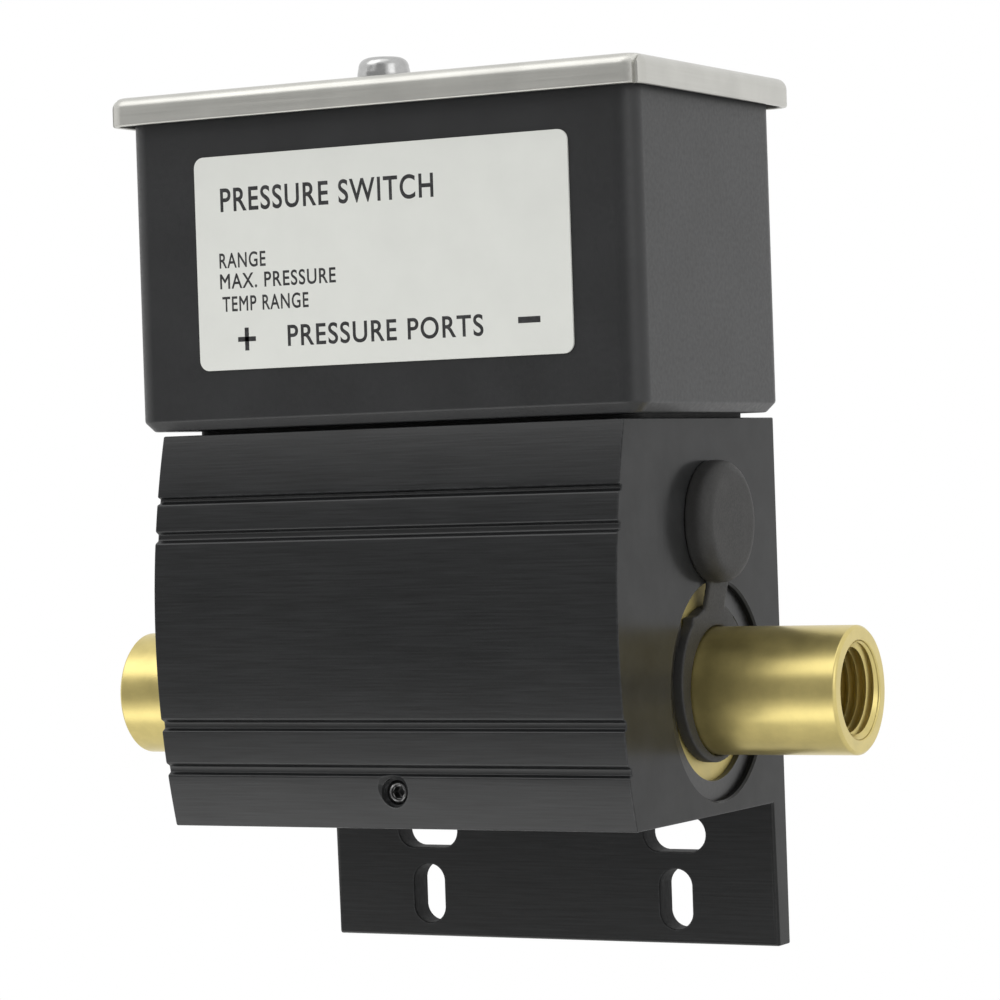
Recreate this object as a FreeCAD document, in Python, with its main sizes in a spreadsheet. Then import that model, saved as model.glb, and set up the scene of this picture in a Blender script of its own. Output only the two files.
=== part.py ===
"""Differential pressure switch, as a parametric document.

Frame: millimetres, +X along the pressure ports towards the adjuster side, +Y into the wall, +Z up.
The origin lies on the back face, straight behind the port axis and midway between the ports.
"""
import FreeCAD
import Part
import math
import os
import Sketcher

# Driving dimensions: name, millimetres, meaning
DIMENSIONS = (
    ("body_length", 78.0, "extruded body, end to end"),
    ("body_cover", 7.6, "top face above the lever pivot"),
    ("bore_wall", 2.025, "body under the through bore"),
    ("edge_depth", 51.6, "depth at the top and bottom front edges"),
    ("front_bulge", 4.2, "rise of the curved front over those edges"),
    ("plate_thickness", 4.5, "mounting plate"),
    ("plate_drop", 40.4, "lower edge of the plate below the port axis"),
    ("bore_diameter", 32.75, "through bore for the pressure chambers"),
    ("port_depth", 22.7, "port axis in front of the back face"),
    ("upper_groove", 30.8, "height of the fine groove"),
    ("panel_groove", 25.3, "height of the groove above the main panel"),
    ("skirt_groove", -3.0, "height of the groove below the main panel"),
    ("lower_groove", -9.7, "height of the lowest groove"),
    ("groove_width", 1.8, "extruded grooves"),
    ("fine_groove_width", 1.1, "fine groove"),
    ("groove_depth", 0.8, "extruded grooves"),
    ("slot_width", 5.5, "mounting slots"),
    ("slot_spacing", 43.8, "slot to slot along the plate"),
    ("cross_slot_length", 10.6, "level slots, end to end"),
    ("cross_slot_drop", 23.4, "level slots below the port axis"),
    ("upright_slot_length", 9.4, "upright slots, end to end"),
    ("upright_slot_drop", 33.5, "upright slots below the port axis"),
    ("lever_slot_length", 14.0, "slot for the lever, along the body"),
    ("lever_slot_width", 16.0, "slot for the lever, front to back"),
    ("tube_diameter", 19.05, "port tubes"),
    ("tube_reach", 22.7, "port tubes past the end faces"),
    ("tube_edge", 0.5, "chamfer on the tube's outer edge"),
    ("flange_recess", 2.15, "chamber's outer face below the end face"),
    ("retainer_thickness", 1.0, "snap rings that keep the ports in"),
    ("retainer_section", 3.8, "snap rings, inside to outside"),
    ("retainer_depth", 0.9, "their grooves in the through bore"),
    ("thread_bore", 12.6, "port thread, across its crests"),
    ("thread_depth", 15.0, "port thread"),
    ("mouth_diameter", 15.0, "countersink at the port's mouth"),
    ("passage_diameter", 7.0, "passage from port to chamber"),
    ("chamber_diameter", 25.0, "pressure chamber"),
    ("chamber_depth", 8.0, "pressure chamber"),
    ("chamber_clearance", 0.1, "chamber and ring in the bore, each side"),
    ("seal_groove_depth", 2.2, "seal groove round the chamber"),
    ("seal_groove_width", 3.4, "seal groove along the chamber"),
    ("seal_inset", 10.0, "seal groove from the chamber's inner face"),
    ("seal_clearance", 0.05, "seal ring in its groove"),
    ("ring_width", 16.0, "centre ring between the diaphragms"),
    ("ring_bore", 26.0, "centre ring, inside"),
    ("diaphragm_thickness", 0.8, "rubber diaphragms"),
    ("roll_rise", 1.2, "rolled fold of a diaphragm"),
    ("disc_diameter", 17.0, "backing discs of a diaphragm"),
    ("disc_thickness", 2.2, "backing discs of a diaphragm"),
    ("spindle_diameter", 5.0, "spindle between the diaphragms"),
    ("spindle_thread", 4.0, "spindle's threaded ends"),
    ("spindle_end", 0.8, "thread past the nut"),
    ("neck_diameter", 4.4, "spindle's neck in the lever's fork"),
    ("collar_diameter", 8.0, "spindle's collars beside the neck"),
    ("collar_thickness", 2.3, "spindle's collars"),
    ("nut_width", 7.0, "spindle nuts across flats"),
    ("nut_height", 3.0, "spindle nuts"),
    ("slide_clearance", 0.2, "fork on the neck, each side"),
    ("lever_thickness", 3.0, "lever plate"),
    ("lever_width", 12.0, "lever, front to back"),
    ("lever_depth", 24.0, "middle of the lever in front of the back face"),
    ("fork_drop", 4.5, "fork below the port axis"),
    ("pivot_rise", 3.0, "lever pivot above the range spring"),
    ("pivot_diameter", 3.0, "pivot pin"),
    ("pivot_length", 32.0, "pivot pin"),
    ("pivot_inset", 6.0, "pin's end below the back face"),
    ("barrel_diameter", 7.0, "lever round its pivot"),
    ("running_clearance", 0.05, "turning fits, each side"),
    ("press_clearance", 0.02, "pressed and screwed fits, each side"),
    ("arm_thickness", 2.5, "lever's arm under the switch"),
    ("arm_lift", 1.5, "arm above the housing floor"),
    ("arm_reach", 20.0, "arm from the pivot"),
    ("adjuster_depth", 24.1, "adjuster axis in front of the back face"),
    ("adjuster_web", 2.825, "body between through bore and adjuster bore"),
    ("adjuster_bore", 12.0, "bore for spring and adjuster"),
    ("keyway_width", 2.4, "keyway along that bore"),
    ("keyway_depth", 1.2, "keyway along that bore"),
    ("spring_diameter", 9.6, "range spring, outside"),
    ("spring_wire", 1.3, "range spring, wire"),
    ("spring_turns", 4.0, "range spring, turns"),
    ("spring_gap", 0.05, "spring to its seats"),
    ("nub_diameter", 5.6, "nub in the spring, on the lever"),
    ("nub_length", 1.6, "nub in the spring, on the lever"),
    ("seat_length", 5.0, "spring seat"),
    ("seat_travel", 3.0, "spring seat, each way"),
    ("seat_clearance", 0.15, "seat in its bore, each side"),
    ("adjuster_thread", 5.0, "adjusting screw, shank"),
    ("shank_length", 17.0, "adjusting screw, shank"),
    ("adjuster_head", 9.6, "adjusting screw, head"),
    ("adjuster_head_length", 3.6, "adjusting screw, head"),
    ("socket_width", 4.0, "hexagon socket across flats"),
    ("socket_depth", 2.6, "hexagon socket"),
    ("clip_thickness", 1.0, "retaining clip of the adjuster"),
    ("clip_depth", 0.6, "clip's groove"),
    ("clip_section", 2.0, "clip's ring, inside to outside"),
    ("clip_gap", 4.0, "opening of the clip"),
    ("plug_diameter", 18.2, "rubber plug"),
    ("plug_thickness", 3.9, "rubber plug"),
    ("plug_round", 1.2, "edge of the rubber plug"),
    ("stem_length", 4.4, "plug's stem in the adjuster bore"),
    ("stem_clearance", 0.15, "plug's stem, each side"),
    ("face_gap", 0.05, "plug to the end face"),
    ("loop_section", 2.575, "plug's loop round the tube, inside to outside"),
    ("loop_width", 1.2, "plug's loop along the tube"),
    ("loop_clearance", 0.15, "loop on the tube, each side"),
    ("loop_gap", 0.3, "loop to the chamber's outer face"),
    ("strap_width", 6.5, "strap from loop to plug"),
    ("strap_thickness", 1.2, "strap from loop to plug"),
    ("lock_diameter", 3.6, "lock screw of the centre ring"),
    ("lock_drop", 13.0, "lock screw below the port axis"),
    ("lock_sink", 1.2, "lock screw below the front"),
    ("lock_mouth", 4.4, "drilled mouth of the lock screw"),
    ("lock_bite", 2.0, "lock screw's point in the centre ring"),
    ("housing_width", 85.2, "housing, end to end"),
    ("housing_front", 53.4, "housing's front in front of the back face"),
    ("housing_back", 4.2, "housing's back in front of the back face"),
    ("housing_height", 48.8, "housing, foot to rim"),
    ("housing_wall", 3.0, "housing walls"),
    ("housing_floor", 3.2, "housing floor"),
    ("housing_corner", 3.5, "upright corners, outside"),
    ("cavity_corner", 1.5, "upright corners, inside"),
    ("housing_foot", 1.5, "chamfer round the foot"),
    ("gasket_thickness", 0.7, "gasket under the housing"),
    ("gasket_end_inset", 1.5, "gasket from the body's ends"),
    ("gasket_edge_inset", 6.0, "gasket from the body's front and back"),
    ("foot_screw", 4.0, "screws that hold the housing down"),
    ("foot_screw_length", 13.0, "those screws, under the head"),
    ("foot_screw_reach", 26.0, "those screws from the middle"),
    ("foot_screw_back", 4.2, "rear ones from the rear wall's inside"),
    ("foot_screw_front", 10.4, "front ones from the front wall's inside"),
    ("conduit_bore", 18.6, "conduit thread, across its crests"),
    ("conduit_boss", 27.0, "boss inside the conduit wall"),
    ("conduit_length", 13.0, "conduit thread"),
    ("cover_screw", 4.2, "cover screws, shank"),
    ("cover_screw_length", 12.0, "cover screws, under the head"),
    ("cover_head", 7.9, "cover screws, head"),
    ("cover_head_height", 3.1, "cover screws, head"),
    ("cover_crown", 0.4, "rounding of their crown"),
    ("cover_post", 9.0, "posts under the cover screws"),
    ("post_setback", 0.1, "those posts from the housing's outside"),
    ("hole_clearance", 0.2, "screws in plain holes, each side"),
    ("lid_overhang", 2.3, "lid past the housing"),
    ("lid_sheet", 0.9, "lid's sheet"),
    ("lid_skirt", 4.4, "lid, top to lower edge"),
    ("lid_corner", 3.0, "lid's upright corners"),
    ("lid_bend", 1.3, "bend along the lid's top edge"),
    ("lid_gasket_thickness", 1.0, "gasket under the lid"),
    ("gasket_margin", 0.5, "that gasket from the housing's outside"),
    ("label_width", 63.0, "label"),
    ("label_height", 32.0, "label"),
    ("label_thickness", 0.3, "label"),
    ("label_corner", 1.6, "label"),
    ("label_shift", 0.9, "label's middle from the housing's middle"),
    ("label_lift", 0.4, "label's middle above the housing's middle"),
    ("switch_length", 49.2, "snap switch"),
    ("switch_thickness", 17.4, "snap switch, front to back"),
    ("switch_height", 19.0, "snap switch, without its plunger"),
    ("switch_edge", 0.8, "snap switch, edges"),
    ("switch_end_gap", 2.4, "snap switch from the housing's right wall"),
    ("plunger_diameter", 4.0, "switch plunger"),
    ("plunger_rise", 1.6, "plunger out of the switch"),
    ("plunger_depth", 4.0, "plunger inside the switch"),
    ("plunger_gap", 0.05, "plunger to the lever's arm"),
    ("plunger_inset", 4.0, "plunger from the end of the arm"),
    ("switch_hole_spacing", 25.4, "switch mounting holes"),
    ("switch_hole_rise", 6.5, "switch mounting holes above its lower face"),
    ("switch_screw", 4.0, "switch mounting screws"),
    ("switch_head", 7.0, "heads of the inner screws"),
    ("switch_head_height", 2.4, "heads of the inner screws"),
    ("bracket_thickness", 1.8, "switch bracket"),
    ("bracket_margin", 5.5, "bracket past the switch screws"),
    ("bracket_lift", 3.6, "bracket's wide part above the floor"),
    ("bracket_foot_length", 14.0, "bracket foot, along the body"),
    ("bracket_post_gap", 1.1, "bracket foot from the rear cover post"),
    ("bracket_wall_gap", 0.7, "bracket foot from the housing's rear wall"),
    ("bracket_screw", 3.0, "bracket screws"),
    ("bracket_head", 5.4, "bracket screws, head"),
    ("bracket_head_gap", 0.1, "foot in front of and behind those heads"),
    ("bracket_screw_spacing", 8.0, "bracket screws"),
    ("terminal_spacing", 15.0, "switch terminals"),
    ("terminal_length", 8.0, "switch terminals"),
    ("terminal_width", 10.0, "switch terminals"),
    ("terminal_thickness", 1.2, "switch terminals"),
    ("ground_gap", 2.0, "ground screw from its neighbour's head"),
    ("ground_back", 15.0, "ground screw in front of the back face"),
)

GROOVES = ("upper_groove", "panel_groove", "skirt_groove", "lower_groove")
OVERCUT = 1.0
FULL_TURN = 360.0
HEX_SIDES = 6
HEX_CORNER = 2 / math.sqrt(3)
# Rise of a quarter round over its chord, for a radius of one
QUARTER_RISE = 1 - math.sqrt(0.5)
# Flat part of a screw's crown, as a share of its head
CROWN_FLAT = 0.6
UPRIGHT = 0.99
SAME = 1e-6

AXIS_X = FreeCAD.Vector(1, 0, 0)
AXIS_Y = FreeCAD.Vector(0, 1, 0)
AXIS_Z = FreeCAD.Vector(0, 0, 1)
# Turns that bring a profile's own X axis onto the named direction
TURNED = {
    "+X": FreeCAD.Rotation(),
    "-X": FreeCAD.Rotation(AXIS_Z, 180),
    "+Y": FreeCAD.Rotation(AXIS_Z, 90),
    "+Z": FreeCAD.Rotation(AXIS_Y, -90),
}
# Turns that bring a primitive's own Z axis onto the named direction
ALONG = {
    "+X": FreeCAD.Rotation(AXIS_Y, 90),
    "+Y": FreeCAD.Rotation(AXIS_X, -90),
    "+Z": FreeCAD.Rotation(),
}


class Dim:
    """A length that keeps its value and the sheet formula it comes from."""

    def __init__(self, value, text):
        self.value = value
        self.text = text

    def __add__(self, other):
        other = as_dim(other)
        return Dim(self.value + other.value, f"({self.text} + {other.text})")

    def __sub__(self, other):
        other = as_dim(other)
        return Dim(self.value - other.value, f"({self.text} - {other.text})")

    def __mul__(self, other):
        other = as_dim(other)
        return Dim(self.value * other.value, f"({self.text} * {other.text})")

    def __truediv__(self, other):
        other = as_dim(other)
        return Dim(self.value / other.value, f"({self.text} / {other.text})")

    def __neg__(self):
        return Dim(-self.value, f"(0 - {self.text})")

    def root(self):
        return Dim(math.sqrt(self.value), f"sqrt({self.text})")


def as_dim(item):
    """Take a plain number as a length of its own."""
    if isinstance(item, Dim):
        return item
    return Dim(float(item), f"({float(item)!r})")


class Sizes:
    """The sheet's driving dimensions, by name."""


def make_sheet(doc):
    """Write the driving dimensions to the sheet and return them by name."""
    sheet = doc.addObject("Spreadsheet::Sheet", "size")
    sizes = Sizes()
    for row, (name, value, meaning) in enumerate(DIMENSIONS, 1):
        sheet.set(f"A{row}", meaning)
        sheet.set(f"B{row}", str(value))
        sheet.setAlias(f"B{row}", name)
        setattr(sizes, name, Dim(value, f"size.{name}"))
    doc.recompute()
    return sizes


doc = FreeCAD.newDocument("differential_pressure_switch")
size = make_sheet(doc)
nodes = []


def bind(target, **lengths):
    """Set properties of a feature and tie them to the sheet."""
    for name, length in lengths.items():
        length = as_dim(length)
        setattr(target, name, length.value)
        target.setExpression(name, length.text)


def place(target, x=0, y=0, z=0, turn=None):
    """Put a feature at a point, turned, and tie the point to the sheet."""
    point = [as_dim(x), as_dim(y), as_dim(z)]
    base = FreeCAD.Vector(*[length.value for length in point])
    target.Placement = FreeCAD.Placement(base, turn or FreeCAD.Rotation())
    for name, length in zip("xyz", point):
        target.setExpression(f"Placement.Base.{name}", length.text)
    return target


def node(feature, label):
    """Name a finished piece."""
    feature.Label = label
    nodes.append(feature)
    return feature


def sketch_on(body, role):
    """Start a sketch on one of a body's own origin planes."""
    plane = next(item for item in body.Origin.OriginFeatures if item.Role == role)
    sketch = body.newObject("Sketcher::SketchObject", body.Name + "_sketch")
    sketch.AttachmentSupport = (plane, [""])
    sketch.MapMode = "FlatFace"
    return sketch


def tie(sketch, kind, name, length, *points):
    """Add one dimension to a sketch and tie it to the sheet."""
    index = sketch.addConstraint(Sketcher.Constraint(kind, *points, length.value))
    sketch.renameConstraint(index, name)
    sketch.setExpression("Constraints." + name, length.text)


def outline(sketch, corners):
    """Draw a closed anticlockwise outline; a corner's third entry bulges the next side outwards."""
    ends = [(as_dim(corner[0]), as_dim(corner[1])) for corner in corners]
    flat = [FreeCAD.Vector(x.value, y.value, 0) for x, y in ends]
    starts = []
    finishes = []
    radii = {}
    for index, corner in enumerate(corners):
        after = (index + 1) % len(corners)
        start, finish = flat[index], flat[after]
        if len(corner) == 2:
            sketch.addGeometry(Part.LineSegment(start, finish), False)
            starts.append(1)
            finishes.append(2)
            continue
        rise = as_dim(corner[2])
        across = ends[after][0] - ends[index][0]
        along = ends[after][1] - ends[index][1]
        radii[index] = ((across * across + along * along) / 4 + rise * rise) / (rise * 2)
        chord = finish - start
        outward = FreeCAD.Vector(chord.y, -chord.x, 0).normalize()
        middle = (start + finish) * 0.5 + outward * rise.value
        if rise.value < 0:
            radii[index] = -radii[index]
        sketch.addGeometry(Part.Arc(start, middle, finish), False)
        first, last = sketch.getPoint(index, 1), sketch.getPoint(index, 2)
        begins = first.distanceToPoint(start) < last.distanceToPoint(start)
        starts.append(1 if begins else 2)
        finishes.append(2 if begins else 1)
    for index in range(len(corners)):
        after = (index + 1) % len(corners)
        sketch.addConstraint(
            Sketcher.Constraint("Coincident", index, finishes[index], after, starts[after]))
    for index, (x, y) in enumerate(ends):
        tie(sketch, "DistanceX", f"x{index}", x, -1, 1, index, starts[index])
        tie(sketch, "DistanceY", f"y{index}", y, -1, 1, index, starts[index])
    for index, radius in radii.items():
        tie(sketch, "Radius", f"r{index}", radius, index)


def padded(name, role, corners, length):
    """A body padded both ways from one of its origin planes."""
    body = doc.addObject("PartDesign::Body", name)
    sketch = sketch_on(body, role)
    outline(sketch, corners)
    pad = body.newObject("PartDesign::Pad", name + "_pad")
    pad.Profile = sketch
    pad.SideType = "Symmetric"
    bind(pad, Length=length)
    return body


def turned(name, corners, x=0, y=0, z=0, direction="+X"):
    """A body turned about its own X axis from corners of (along, radius)."""
    body = doc.addObject("PartDesign::Body", name)
    sketch = sketch_on(body, "XY_Plane")
    outline(sketch, corners)
    revolution = body.newObject("PartDesign::Revolution", name + "_turn")
    revolution.Profile = sketch
    revolution.ReferenceAxis = (sketch, ["H_Axis"])
    revolution.Angle = FULL_TURN
    return place(body, x, y, z, TURNED[direction])


def edges_where(feature, test):
    """Names of a feature's edges that pass a test."""
    return [f"Edge{number}" for number, edge in enumerate(feature.Shape.Edges, 1) if test(edge)]


def is_upright(edge):
    return abs(edge.tangentAt(edge.FirstParameter).z) > UPRIGHT


def lies_at(height):
    """A test for edges that lie level at one height."""
    def test(edge):
        return abs(edge.BoundBox.ZMin - height) < SAME and abs(edge.BoundBox.ZMax - height) < SAME
    return test


def rounded_block(name, width, depth, height, corner, foot=None, bend=None):
    """A block on the XY plane, centred, with round upright corners, a foot chamfer or a top bend."""
    body = doc.addObject("PartDesign::Body", name)
    half_width, half_depth = width / 2, depth / 2
    sketch = sketch_on(body, "XY_Plane")
    outline(sketch, ((-half_width, -half_depth), (half_width, -half_depth),
                     (half_width, half_depth), (-half_width, half_depth)))
    feature = body.newObject("PartDesign::Pad", name + "_pad")
    feature.Profile = sketch
    bind(feature, Length=height)
    doc.recompute()
    fillet = body.newObject("PartDesign::Fillet", name + "_corners")
    fillet.Base = (feature, edges_where(feature, is_upright))
    bind(fillet, Radius=corner)
    doc.recompute()
    feature = fillet
    if foot is not None:
        chamfer = body.newObject("PartDesign::Chamfer", name + "_foot")
        chamfer.Base = (feature, edges_where(feature, lies_at(0)))
        bind(chamfer, Size=foot)
        doc.recompute()
        feature = chamfer
    if bend is not None:
        rounding = body.newObject("PartDesign::Fillet", name + "_bend")
        rounding.Base = (feature, edges_where(feature, lies_at(height.value)))
        bind(rounding, Radius=bend)
        doc.recompute()
    return body


def box(name, x, y, z):
    """A box between three pairs of limits."""
    feature = doc.addObject("Part::Box", name)
    low = [as_dim(pair[0]) for pair in (x, y, z)]
    high = [as_dim(pair[1]) for pair in (x, y, z)]
    bind(feature, Length=high[0] - low[0], Width=high[1] - low[1], Height=high[2] - low[2])
    return place(feature, *low)


def rod(name, diameter, length, x=0, y=0, z=0, direction="+Z"):
    """A cylinder from a point along a direction."""
    feature = doc.addObject("Part::Cylinder", name)
    bind(feature, Radius=diameter / 2, Height=length)
    return place(feature, x, y, z, ALONG[direction])


def hexagon(name, across_flats, length, x=0, y=0, z=0, direction="+Z"):
    """A six-sided bar from a point along a direction."""
    feature = doc.addObject("Part::Prism", name)
    feature.Polygon = HEX_SIDES
    bind(feature, Circumradius=across_flats / 2 * HEX_CORNER, Height=length)
    return place(feature, x, y, z, ALONG[direction])


def fused(name, pieces):
    feature = doc.addObject("Part::MultiFuse", name)
    feature.Shapes = pieces
    return feature


def cut(name, base, tools):
    feature = doc.addObject("Part::Cut", name)
    feature.Base = base
    feature.Tool = tools[0] if len(tools) == 1 else fused(name + "_tools", tools)
    return feature


def group(name, pieces):
    feature = doc.addObject("Part::Compound", name)
    feature.Links = pieces
    return feature


def screw(name, shank, length, head, head_height, x, y, z, crown=None):
    """An upright screw on the seat of its head, plain or with a rounded crown where it shows."""
    radius = head / 2
    edge = [(head_height, radius)]
    if crown is not None:
        edge = [(head_height, radius * CROWN_FLAT, crown), (head_height / 3, radius)]
    corners = [(-length, 0), (head_height, 0)] + edge + [(0, radius), (0, shank / 2), (-length, shank / 2)]
    return turned(name, corners, x, y, z, "+Z")


# Places that several pieces share
end_face = size.body_length / 2
port_y = -size.port_depth
adjuster_y = -size.adjuster_depth
lever_y = -size.lever_depth
adjuster_z = size.bore_diameter / 2 + size.adjuster_web + size.adjuster_bore / 2
pivot_z = adjuster_z + size.spring_diameter / 2 + size.pivot_rise
body_top = pivot_z + size.body_cover
body_bottom = size.bore_diameter / 2 + size.bore_wall
body_middle = (body_top - body_bottom) / 2
half_front = (body_top + body_bottom) / 2
front_radius = (half_front * half_front + size.front_bulge * size.front_bulge) / (size.front_bulge * 2)
slot_back = lever_y + size.lever_slot_width / 2
slot_front = lever_y - size.lever_slot_width / 2
housing_foot_z = body_top + size.gasket_thickness
floor_z = housing_foot_z + size.housing_floor
rim_z = housing_foot_z + size.housing_height
housing_depth = size.housing_front - size.housing_back
housing_y = -(size.housing_front + size.housing_back) / 2
conduit_z = (floor_z + rim_z) / 2
lid_under_z = rim_z + size.lid_gasket_thickness
lid_top_z = lid_under_z + size.lid_sheet
chamber_face = size.ring_width / 2 + size.diaphragm_thickness
flange_face = end_face - size.flange_recess
tube_end = end_face + size.tube_reach
chamber_radius = size.bore_diameter / 2 - size.chamber_clearance
lock_half = (chamber_radius * chamber_radius - size.lock_drop * size.lock_drop).root()
lock_end = port_y - lock_half + size.lock_bite
loop_radius = size.tube_diameter / 2 + size.loop_clearance + size.loop_section
stem_end = end_face - size.stem_length
clip_outer = stem_end - size.clip_thickness / 2
clip_inner = clip_outer - size.clip_thickness
head_outer = clip_inner - size.running_clearance
head_inner = head_outer - size.adjuster_head_length
seat_outer = head_inner - size.seat_travel - size.running_clearance
seat_inner = seat_outer - size.seat_length
lever_face = size.lever_thickness / 2
arm_z = floor_z + size.arm_lift
arm_top_z = arm_z + size.arm_thickness
plunger_x = size.arm_reach - size.plunger_inset
switch_z = arm_top_z + size.plunger_gap + size.plunger_rise
bracket_foot_depth = size.bracket_head + size.bracket_head_gap * 2
bracket_foot_end = -size.housing_back - size.housing_wall - size.bracket_wall_gap
bracket_back_y = bracket_foot_end - bracket_foot_depth
bracket_x = size.cover_post / 2 + size.bracket_post_gap + size.bracket_foot_length / 2
switch_back_y = bracket_back_y - size.bracket_thickness
switch_y = switch_back_y - size.switch_thickness / 2
switch_front_y = switch_back_y - size.switch_thickness
switch_middle_x = size.housing_width / 2 - size.housing_wall - size.switch_end_gap - size.switch_length / 2
cover_inset = size.cover_post / 2 + size.post_setback
cover_front_y = -size.housing_front + cover_inset
cover_back_y = -size.housing_back - cover_inset
foot_front_y = -size.housing_front + size.housing_wall + size.foot_screw_front
foot_back_y = -size.housing_back - size.housing_wall - size.foot_screw_back
foot_screw_places = [
    (-size.foot_screw_reach, foot_front_y), (size.foot_screw_reach, foot_front_y),
    (-size.foot_screw_reach, foot_back_y), (size.foot_screw_reach, foot_back_y)]
ground_x = size.ground_gap + size.switch_head - size.foot_screw_reach


def front_y(height):
    """The curved front at a height."""
    rise = height - body_middle
    reach = (front_radius * front_radius - rise * rise).root()
    return front_radius - size.edge_depth - size.front_bulge - reach


def groove_cutter(name):
    """A flat-bottomed V along the front."""
    height = getattr(size, name)
    width = size.fine_groove_width if name == "upper_groove" else size.groove_width
    surface = front_y(height)
    floor, outside = surface + size.groove_depth, surface - size.groove_depth
    corners = ((outside, height - width * 3 / 4), (floor, height - width / 4),
               (floor, height + width / 4), (outside, height + width * 3 / 4))
    return padded(name + "_cutter", "YZ_Plane", corners, size.body_length + OVERCUT * 2)


def slot_cutter(name, x, z, length, upright):
    """A round-ended slot through the mounting plate."""
    radius = size.slot_width / 2
    reach = length / 2 - radius
    dx, dz = (as_dim(0), reach) if upright else (reach, as_dim(0))
    wide, tall = (radius, reach) if upright else (reach, radius)
    front, depth = -size.plate_thickness - OVERCUT, size.plate_thickness + OVERCUT * 2
    pieces = [box(name + "_middle", (x - wide, x + wide), (front, front + depth), (z - tall, z + tall))]
    for side in (-1, 1):
        pieces.append(rod(f"{name}_end_{side + 1}", size.slot_width, depth,
                          x + dx * side, front, z + dz * side, "+Y"))
    return fused(name, pieces)


def make_body():
    """The extruded body with its integral plate, grooves, slots and bores."""
    profile = padded("body_profile", "YZ_Plane", (
        (0, -size.plate_drop), (0, body_top), (-size.edge_depth, body_top, size.front_bulge),
        (-size.edge_depth, -body_bottom), (-size.plate_thickness, -body_bottom),
        (-size.plate_thickness, -size.plate_drop)), size.body_length)
    through = size.body_length + OVERCUT * 2
    left = -end_face - OVERCUT
    cutters = [groove_cutter(name) for name in GROOVES]
    cutters.append(rod("main_bore", size.bore_diameter, through, left, port_y, 0, "+X"))
    groove_width = size.retainer_thickness + size.running_clearance * 2
    for name, start in (("left", -flange_face - groove_width), ("right", flange_face)):
        cutters.append(rod(name + "_retainer_groove", size.bore_diameter + size.retainer_depth * 2,
                           groove_width, start, port_y, 0, "+X"))
    for name, side in (("left", -1), ("right", 1)):
        x = size.slot_spacing / 2 * side
        cutters.append(slot_cutter(name + "_level_slot", x, -size.cross_slot_drop,
                                   size.cross_slot_length, False))
        cutters.append(slot_cutter(name + "_upright_slot", x, -size.upright_slot_drop,
                                   size.upright_slot_length, True))
    half_slot = size.lever_slot_length / 2
    cutters.append(box("lever_slot", (-half_slot, half_slot), (slot_front, slot_back),
                       (0, body_top + OVERCUT)))
    cutters.append(rod("adjuster_hole", size.adjuster_bore, end_face + OVERCUT, 0, adjuster_y,
                       adjuster_z, "+X"))
    key_top = adjuster_z + size.adjuster_bore / 2 + size.keyway_depth
    key_half = size.keyway_width / 2
    cutters.append(box("keyway", (0, head_outer), (adjuster_y - key_half, adjuster_y + key_half),
                       (adjuster_z, key_top)))
    cutters.append(rod("clip_groove", size.adjuster_bore + size.clip_depth * 2,
                       size.clip_thickness + size.running_clearance * 2, clip_inner - size.running_clearance,
                       adjuster_y, adjuster_z, "+X"))
    pin_hole = size.pivot_diameter + size.press_clearance * 2
    pin_depth = size.pivot_inset + size.pivot_length
    cutters.append(rod("pivot_hole", pin_hole, pin_depth + OVERCUT, 0, -pin_depth, pivot_z, "+Y"))
    lock_hole = size.lock_diameter + size.press_clearance * 2
    lock_start = -size.edge_depth - size.front_bulge
    cutters.append(rod("lock_hole", lock_hole, port_y - lock_start, 0, lock_start, -size.lock_drop, "+Y"))
    cutters.append(rod("lock_mouth", size.lock_mouth, front_y(-size.lock_drop) + size.lock_sink - lock_start,
                       0, lock_start, -size.lock_drop, "+Y"))
    screw_depth = size.foot_screw_length - size.housing_floor
    for number, (x, y) in enumerate(foot_screw_places):
        cutters.append(rod(f"foot_hole_{number}", size.foot_screw + size.press_clearance * 2,
                           screw_depth + OVERCUT, x, y, body_top - screw_depth, "+Z"))
    node(cut("body_extrusion", profile, cutters), "body_extrusion")


def port_corners():
    """Half section of a port: chamber, seal groove, tube and bored passage."""
    groove_start = chamber_face + size.seal_inset
    groove_end = groove_start + size.seal_groove_width
    groove_radius = chamber_radius - size.seal_groove_depth
    chamber_end = chamber_face + size.chamber_depth
    tube, thread = size.tube_diameter / 2, size.thread_bore / 2
    mouth, passage = size.mouth_diameter / 2, size.passage_diameter / 2
    thread_end = tube_end - size.thread_depth
    return ((chamber_face, size.chamber_diameter / 2), (chamber_end, size.chamber_diameter / 2),
            (chamber_end, passage), (thread_end - (thread - passage), passage), (thread_end, thread),
            (tube_end - (mouth - thread), thread), (tube_end, mouth),
            (tube_end, tube - size.tube_edge), (tube_end - size.tube_edge, tube), (flange_face, tube),
            (flange_face, chamber_radius), (groove_end, chamber_radius), (groove_end, groove_radius),
            (groove_start, groove_radius), (groove_start, chamber_radius), (chamber_face, chamber_radius))


def make_ports():
    """The two brass ports with their seal rings."""
    seals = []
    gap = size.seal_clearance
    outside = size.bore_diameter / 2 - gap
    inside = chamber_radius - size.seal_groove_depth + gap
    start = chamber_face + size.seal_inset + gap
    stop = start + size.seal_groove_width - gap * 2
    corners = ((start, inside), (stop, inside), (stop, outside), (start, outside))
    for name, direction in (("left", "-X"), ("right", "+X")):
        node(turned(name + "_port_body", port_corners(), 0, port_y, 0, direction), name + "_port")
        seals.append(turned(name + "_seal", corners, 0, port_y, 0, direction))
    node(group("seal_rings", seals), "port_seal_rings")


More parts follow.
